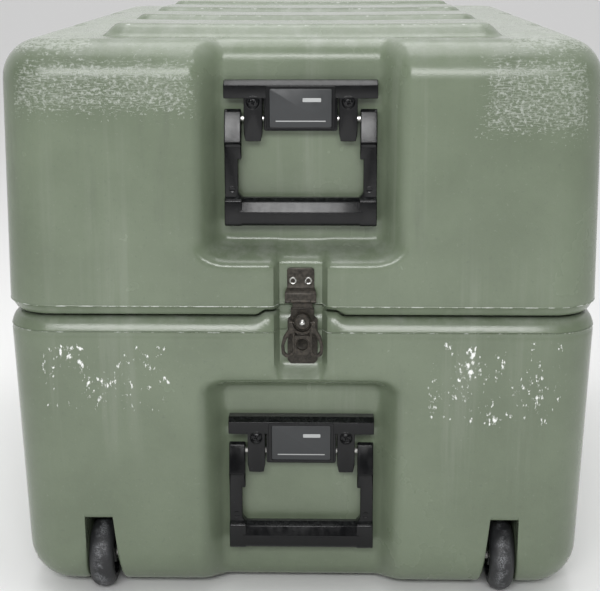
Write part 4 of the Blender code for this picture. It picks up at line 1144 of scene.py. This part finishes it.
def greenShell(groups):
    # sage moulding: mottled green, vertical runs, white scuffs, rubbed ridges that are partly painted highlight on
    # the pad crests and base rim, and residue flecks
    material, tree, shader, place = startMaterial("greenShell")
    mottle = noiseOf(tree, place, 7.0, 5.0, 0.6)
    colour = mixOf(tree, smoothRange(tree, mottle, 0.3, 0.7), (0.134, 0.165, 0.112), (0.167, 0.204, 0.141))
    speck = noiseOf(tree, place, 260.0, 4.0, 0.7)
    colour = mixOf(tree, smoothRange(tree, speck, 0.60, 0.80, 0.0, 0.35), colour, (0.27, 0.30, 0.25))
    colour = mixOf(tree, smoothRange(tree, speck, 0.42, 0.25, 0.0, 0.35), colour, (0.10, 0.12, 0.095))
    runs = noiseOf(tree, place, 42.0, 4.0, 0.6, (1.0, 1.0, 0.05))
    wide = noiseOf(tree, place, 3.5, 2.0, 0.5)
    runs = mathOf(tree, "MULTIPLY", smoothRange(tree, runs, 0.52, 0.72), smoothRange(tree, wide, 0.42, 0.62))
    colour = mixOf(tree, mathOf(tree, "MULTIPLY", runs, 0.30), colour, (0.265, 0.296, 0.240))
    grime = noiseOf(tree, place, 28.0, 5.0, 0.65, (1.0, 1.0, 0.12))
    colour = mixOf(tree, smoothRange(tree, grime, 0.58, 0.80, 0.0, 0.30), colour, (0.085, 0.098, 0.078))
    dust = effect(tree, groups["dustFilm"], {"Place": place, "Scale": 45.0, "Amount": 0.38})
    colour = mixOf(tree, dust, colour, (0.34, 0.36, 0.33))
    scuff = effect(tree, groups["scuffMarks"], {"Place": place, "Area": attributeOf(tree, "scuffs"),
                                                "Scale": 260.0})
    colour = mixOf(tree, mathOf(tree, "MULTIPLY", scuff, 0.42), colour, (0.62, 0.64, 0.61))
    # light rub colour from the ridge values: wear on the parting line, painted highlight on the pad crests and the
    # base rim
    rub = effect(tree, groups["rubbedEdge"], {"Place": place, "Edge": attributeOf(tree, "ridgeWearAndPaintedHighlight"),
                                              "Scale": 120.0, "Amount": 0.62})
    colour = mixOf(tree, mathOf(tree, "MULTIPLY", rub, 0.75), colour, (0.60, 0.63, 0.59))
    flecks = residueFlecks(tree, place)
    colour = mixOf(tree, flecks, colour, (0.84, 0.85, 0.83))
    marks = mathOf(tree, "MAXIMUM", scuff, mathOf(tree, "MAXIMUM", rub, flecks))
    rough = mathOf(tree, "ADD", smoothRange(tree, mottle, 0.25, 0.75, 0.20, 0.29),
                   mathOf(tree, "MULTIPLY", marks, 0.30))
    grain = effect(tree, groups["mouldGrain"], {"Place": place, "Scale": 520.0, "Ripple": 1.6})
    height = mathOf(tree, "ADD", grain, mathOf(tree, "MULTIPLY", scuff, -0.5))
    setSurface(tree, shader, colour, rough, height, 0.10, 0.0012)
    shader.inputs["IOR"].default_value = 1.5
    return material


def residueFlecks(tree, place):
    # crumbs of old adhesive inside two label areas: coarse broken noise times the area value
    area = attributeOf(tree, "residue")
    cells = newNode(tree, "TexVoronoi", {"Vector": place, "Scale": 190.0,
                                         "Randomness": 1.0}).outputs["Distance"]
    chips = noiseOf(tree, place, 230.0, 6.0, 0.8, (1.0, 1.0, 0.42), (0.0, 0.25, 0.0))
    clumps = noiseOf(tree, place, 34.0, 3.0, 0.6, (1.3, 1.0, 0.7))
    total = mathOf(tree, "ADD", mathOf(tree, "MULTIPLY", chips, 1.0), mathOf(tree, "MULTIPLY", clumps, 0.55))
    total = mathOf(tree, "SUBTRACT", total, mathOf(tree, "MULTIPLY", cells, 0.18))
    mask = smoothRange(tree, mathOf(tree, "ADD", total, mathOf(tree, "MULTIPLY", area, 0.10)), 0.90, 0.925)
    return mathOf(tree, "MULTIPLY", mask, smoothRange(tree, area, 0.2, 0.5), True)


def blackPlastic(groups):
    material, tree, shader, place = startMaterial("blackPlastic")
    mottle = noiseOf(tree, place, 60.0, 4.0, 0.6)
    colour = mixOf(tree, mottle, (0.0020, 0.0021, 0.0025), (0.0055, 0.0058, 0.0065))
    rub = effect(tree, groups["rubbedEdge"], {"Place": place, "Edge": attributeOf(tree, "edgeWear"),
                                              "Scale": 420.0, "Amount": 0.42})
    colour = mixOf(tree, mathOf(tree, "MULTIPLY", rub, 0.45), colour, (0.12, 0.13, 0.14))
    specks = noiseOf(tree, place, 900.0, 3.0, 0.6)
    colour = mixOf(tree, smoothRange(tree, specks, 0.70, 0.80, 0.0, 0.5), colour, (0.25, 0.26, 0.27))
    dust = effect(tree, groups["dustFilm"], {"Place": place, "Scale": 180.0, "Amount": 0.12})
    colour = mixOf(tree, dust, colour, (0.13, 0.14, 0.14))
    smear = noiseOf(tree, place, 90.0, 4.0, 0.65, (1.0, 1.0, 0.4))
    rough = mathOf(tree, "ADD", smoothRange(tree, smear, 0.3, 0.7, 0.15, 0.27),
                   mathOf(tree, "MULTIPLY", rub, 0.2))
    grain = effect(tree, groups["mouldGrain"], {"Place": place, "Scale": 1500.0, "Ripple": 0.8})
    setSurface(tree, shader, colour, rough, grain, 0.10, 0.0005)
    shader.inputs["Specular IOR Level"].default_value = 0.32
    return material


def labelSheet(groups):
    # dark printed sheet, blank apart from a pale line near its lower edge and one plain strip
    material, tree, shader, place = startMaterial("labelSheet")
    cloud = noiseOf(tree, place, 140.0, 4.0, 0.6)
    colour = mixOf(tree, cloud, (0.026, 0.028, 0.030), (0.036, 0.039, 0.041))
    rub = effect(tree, groups["rubbedEdge"], {"Place": place, "Edge": attributeOf(tree, "edgeWear"),
                                              "Scale": 500.0, "Amount": 0.60})
    colour = mixOf(tree, mathOf(tree, "MULTIPLY", rub, 0.7), colour, (0.35, 0.36, 0.36))
    stripes = attributeOf(tree, "printed")
    colour = mixOf(tree, stripes, colour, (0.42, 0.43, 0.43))
    rough = smoothRange(tree, cloud, 0.3, 0.7, 0.38, 0.50)
    grain = effect(tree, groups["mouldGrain"], {"Place": place, "Scale": 2200.0, "Ripple": 0.5})
    setSurface(tree, shader, colour, rough, grain, 0.05, 0.0004)
    return material


def blackOxide(groups):
    # blackened pressed steel, its edges worn to bare metal with a little rust colour
    material, tree, shader, place = startMaterial("blackOxide")
    patina = noiseOf(tree, place, 320.0, 5.0, 0.65)
    colour = mixOf(tree, smoothRange(tree, patina, 0.35, 0.7), (0.024, 0.021, 0.017), (0.062, 0.055, 0.045))
    fleck = noiseOf(tree, place, 1400.0, 3.0, 0.6)
    colour = mixOf(tree, smoothRange(tree, fleck, 0.60, 0.75, 0.0, 0.45), colour, (0.20, 0.19, 0.17))
    edge = attributeOf(tree, "edgeWear")
    rub = effect(tree, groups["rubbedEdge"], {"Place": place, "Edge": edge, "Scale": 600.0, "Amount": 0.50})
    rust = mathOf(tree, "MULTIPLY", edge, smoothRange(tree, patina, 0.45, 0.65, 0.0, 0.5))
    colour = mixOf(tree, rust, colour, (0.10, 0.074, 0.056))
    colour = mixOf(tree, mathOf(tree, "MULTIPLY", rub, 0.8), colour, (0.34, 0.32, 0.30))
    rough = mathOf(tree, "SUBTRACT", smoothRange(tree, patina, 0.3, 0.7, 0.34, 0.52),
                   mathOf(tree, "MULTIPLY", rub, 0.12))
    tree.links.new(smoothRange(tree, rub, 0.0, 1.0, 0.55, 1.0), shader.inputs["Metallic"])
    grain = effect(tree, groups["mouldGrain"], {"Place": place, "Scale": 1700.0, "Ripple": 1.0})
    setSurface(tree, shader, colour, rough, grain, 0.18, 0.0004)
    return material


def brightSteel(groups):
    material, tree, shader, place = startMaterial("brightSteel")
    haze = noiseOf(tree, place, 500.0, 4.0, 0.6)
    colour = mixOf(tree, smoothRange(tree, haze, 0.3, 0.75), (0.66, 0.66, 0.64), (0.50, 0.49, 0.46))
    pits = noiseOf(tree, place, 1600.0, 3.0, 0.6)
    colour = mixOf(tree, smoothRange(tree, pits, 0.66, 0.78, 0.0, 0.6), colour, (0.18, 0.16, 0.14))
    rough = smoothRange(tree, haze, 0.3, 0.75, 0.22, 0.38)
    shader.inputs["Metallic"].default_value = 1.0
    grain = effect(tree, groups["mouldGrain"], {"Place": place, "Scale": 2200.0, "Ripple": 0.6})
    setSurface(tree, shader, colour, rough, grain, 0.08, 0.0003)
    return material


def tyreRubber(groups):
    # black rubber with a scuffed grey crown and gritty specks
    material, tree, shader, place = startMaterial("tyreRubber")
    mottle = noiseOf(tree, place, 110.0, 5.0, 0.65)
    colour = mixOf(tree, mottle, (0.010, 0.010, 0.011), (0.030, 0.031, 0.034))
    crown = attributeOf(tree, "crownWear")
    grit = noiseOf(tree, place, 900.0, 4.0, 0.7)
    area = noiseOf(tree, place, 75.0, 3.0, 0.6)
    worn = mathOf(tree, "MULTIPLY", crown, smoothRange(tree, area, 0.42, 0.60))
    worn = mathOf(tree, "MULTIPLY", worn, smoothRange(tree, grit, 0.42, 0.62))
    colour = mixOf(tree, mathOf(tree, "MULTIPLY", worn, 0.85), colour, (0.30, 0.31, 0.325))
    rough = smoothRange(tree, mottle, 0.3, 0.7, 0.42, 0.60)
    grain = effect(tree, groups["mouldGrain"], {"Place": place, "Scale": 1300.0, "Ripple": 1.2})
    height = mathOf(tree, "SUBTRACT", grain, mathOf(tree, "MULTIPLY", worn, 1.2))
    setSurface(tree, shader, colour, rough, height, 0.30, 0.0006)
    return material


def gasketRubber(groups):
    material, tree, shader, place = startMaterial("gasketRubber")
    cells = newNode(tree, "TexVoronoi", {"Vector": place, "Scale": 1100.0}).outputs["Distance"]
    mottle = noiseOf(tree, place, 160.0, 4.0, 0.6)
    colour = mixOf(tree, mottle, (0.018, 0.018, 0.018), (0.040, 0.040, 0.039))
    rough = smoothRange(tree, mottle, 0.3, 0.7, 0.75, 0.92)
    grain = effect(tree, groups["mouldGrain"], {"Place": place, "Scale": 1500.0, "Ripple": 0.6})
    setSurface(tree, shader, colour, rough, mathOf(tree, "ADD", grain, cells), 0.35, 0.0005)
    return material


def makeMaterials():
    groups = makeGroups()
    makers = {"greenShell": greenShell, "blackPlastic": blackPlastic, "labelSheet": labelSheet,
              "blackOxide": blackOxide, "brightSteel": brightSteel, "tyreRubber": tyreRubber,
              "gasketRubber": gasketRubber}
    return {name: maker(groups) for name, maker in makers.items()}


def finishKeptNodes(materials):
    # CAD nodes that stay in view keep their meshes and get the detailed finishes
    for piece in bpy.context.scene.objects:
        name = piece.name
        finish = None
        if name.endswith(("_rod", "_spring", "_bush", "_bolt")):
            finish = "brightSteel"
        elif name == "lid_gasket":
            finish = "gasketRubber"
        elif name in ("wheel_left_hub", "wheel_right_hub"):
            finish = "blackPlastic"
        if finish and piece.type == "MESH":
            for slot in piece.material_slots:
                slot.material = materials[finish]


# camera, light and floor
view = {"lens": 81.72, "pitch": 14.56, "turn": 1.3, "roll": 0.10,
        "ahead": 1.315, "aside": 0.030, "above": 0.354, "shiftY": 0.0075}


def makeCamera():
    data = bpy.data.cameras.new("viewCamera")
    data.lens = view["lens"]
    data.sensor_width = 36.0
    data.shift_y = view["shiftY"]
    data.clip_start = 0.05
    camera = bpy.data.objects.new("viewCamera", data)
    camera.location = (view["aside"], -shell["halfLength"] - view["ahead"], shell["parting"] + view["above"])
    camera.rotation_euler = (math.radians(90 - view["pitch"]), math.radians(view["roll"]),
                             math.radians(view["turn"]))
    bpy.context.scene.collection.objects.link(camera)
    bpy.context.scene.camera = camera


def makeLight(name, place, target, size, power, colour=(1, 1, 1)):
    data = bpy.data.lights.new(name, "AREA")
    data.shape = "RECTANGLE"
    data.size, data.size_y = size
    data.energy = power
    data.color = colour
    light = bpy.data.objects.new(name, data)
    light.location = place
    direction = np.array(target) - np.array(place)
    light.rotation_euler = (math.atan2(math.hypot(direction[0], direction[1]), -direction[2]), 0,
                            math.atan2(direction[1], direction[0]) - math.pi / 2)
    bpy.context.scene.collection.objects.link(light)


def makeStudio():
    world = bpy.data.worlds.new("studio")
    world.use_nodes = True
    tree = world.node_tree
    background = tree.nodes["Background"]
    background.inputs["Color"].default_value = (1, 1, 1, 1)
    # brighter behind the case and overhead, dimmer in front
    direction = newNode(tree, "SeparateXYZ", {0: newNode(tree, "TexCoord").outputs["Generated"]}).outputs
    behind = smoothRange(tree, direction["Y"], -0.2, 0.5, 0.0, 0.80)
    above = smoothRange(tree, direction["Z"], 0.35, 0.85, 0.0, 0.50)
    strength = mathOf(tree, "ADD", mathOf(tree, "ADD", behind, above), 0.05)
    tree.links.new(strength, background.inputs["Strength"])
    bpy.context.scene.world = world
    bpy.context.scene.view_settings.view_transform = "Standard"
    makeLight("overheadSoftbox", (0, 0.0, 2.4), (0, 0.0, 0.4), (2.0, 1.2), 22)
    makeLight("frontSoftbox", (-0.2, -3.1, 1.68), (0, -0.4, 0.45), (2.2, 0.72), 62)
    floorSize = 25.0
    points = np.array([(-floorSize, -floorSize, -0.0006), (floorSize, -floorSize, -0.0006),
                       (floorSize, floorSize, -0.0006), (-floorSize, floorSize, -0.0006)])
    mesh = bpy.data.meshes.new("studioFloor")
    mesh.from_pydata(points.tolist(), [], [(0, 1, 2, 3)])
    floor = bpy.data.objects.new("studioFloor", mesh)
    bpy.context.scene.collection.objects.link(floor)
    material = bpy.data.materials.new("studioFloor")
    material.use_nodes = True
    shader = material.node_tree.nodes["Principled BSDF"]
    shader.inputs["Base Color"].default_value = (0.86, 0.86, 0.86, 1)
    shader.inputs["Roughness"].default_value = 0.9
    mesh.materials.append(material)


finishes = makeMaterials()
makeShells(finishes)
makeHandles(finishes)
makeLatches(finishes)
makeWheels(finishes)
finishKeptNodes(finishes)
makeCamera()
makeStudio()
print("studio ready")
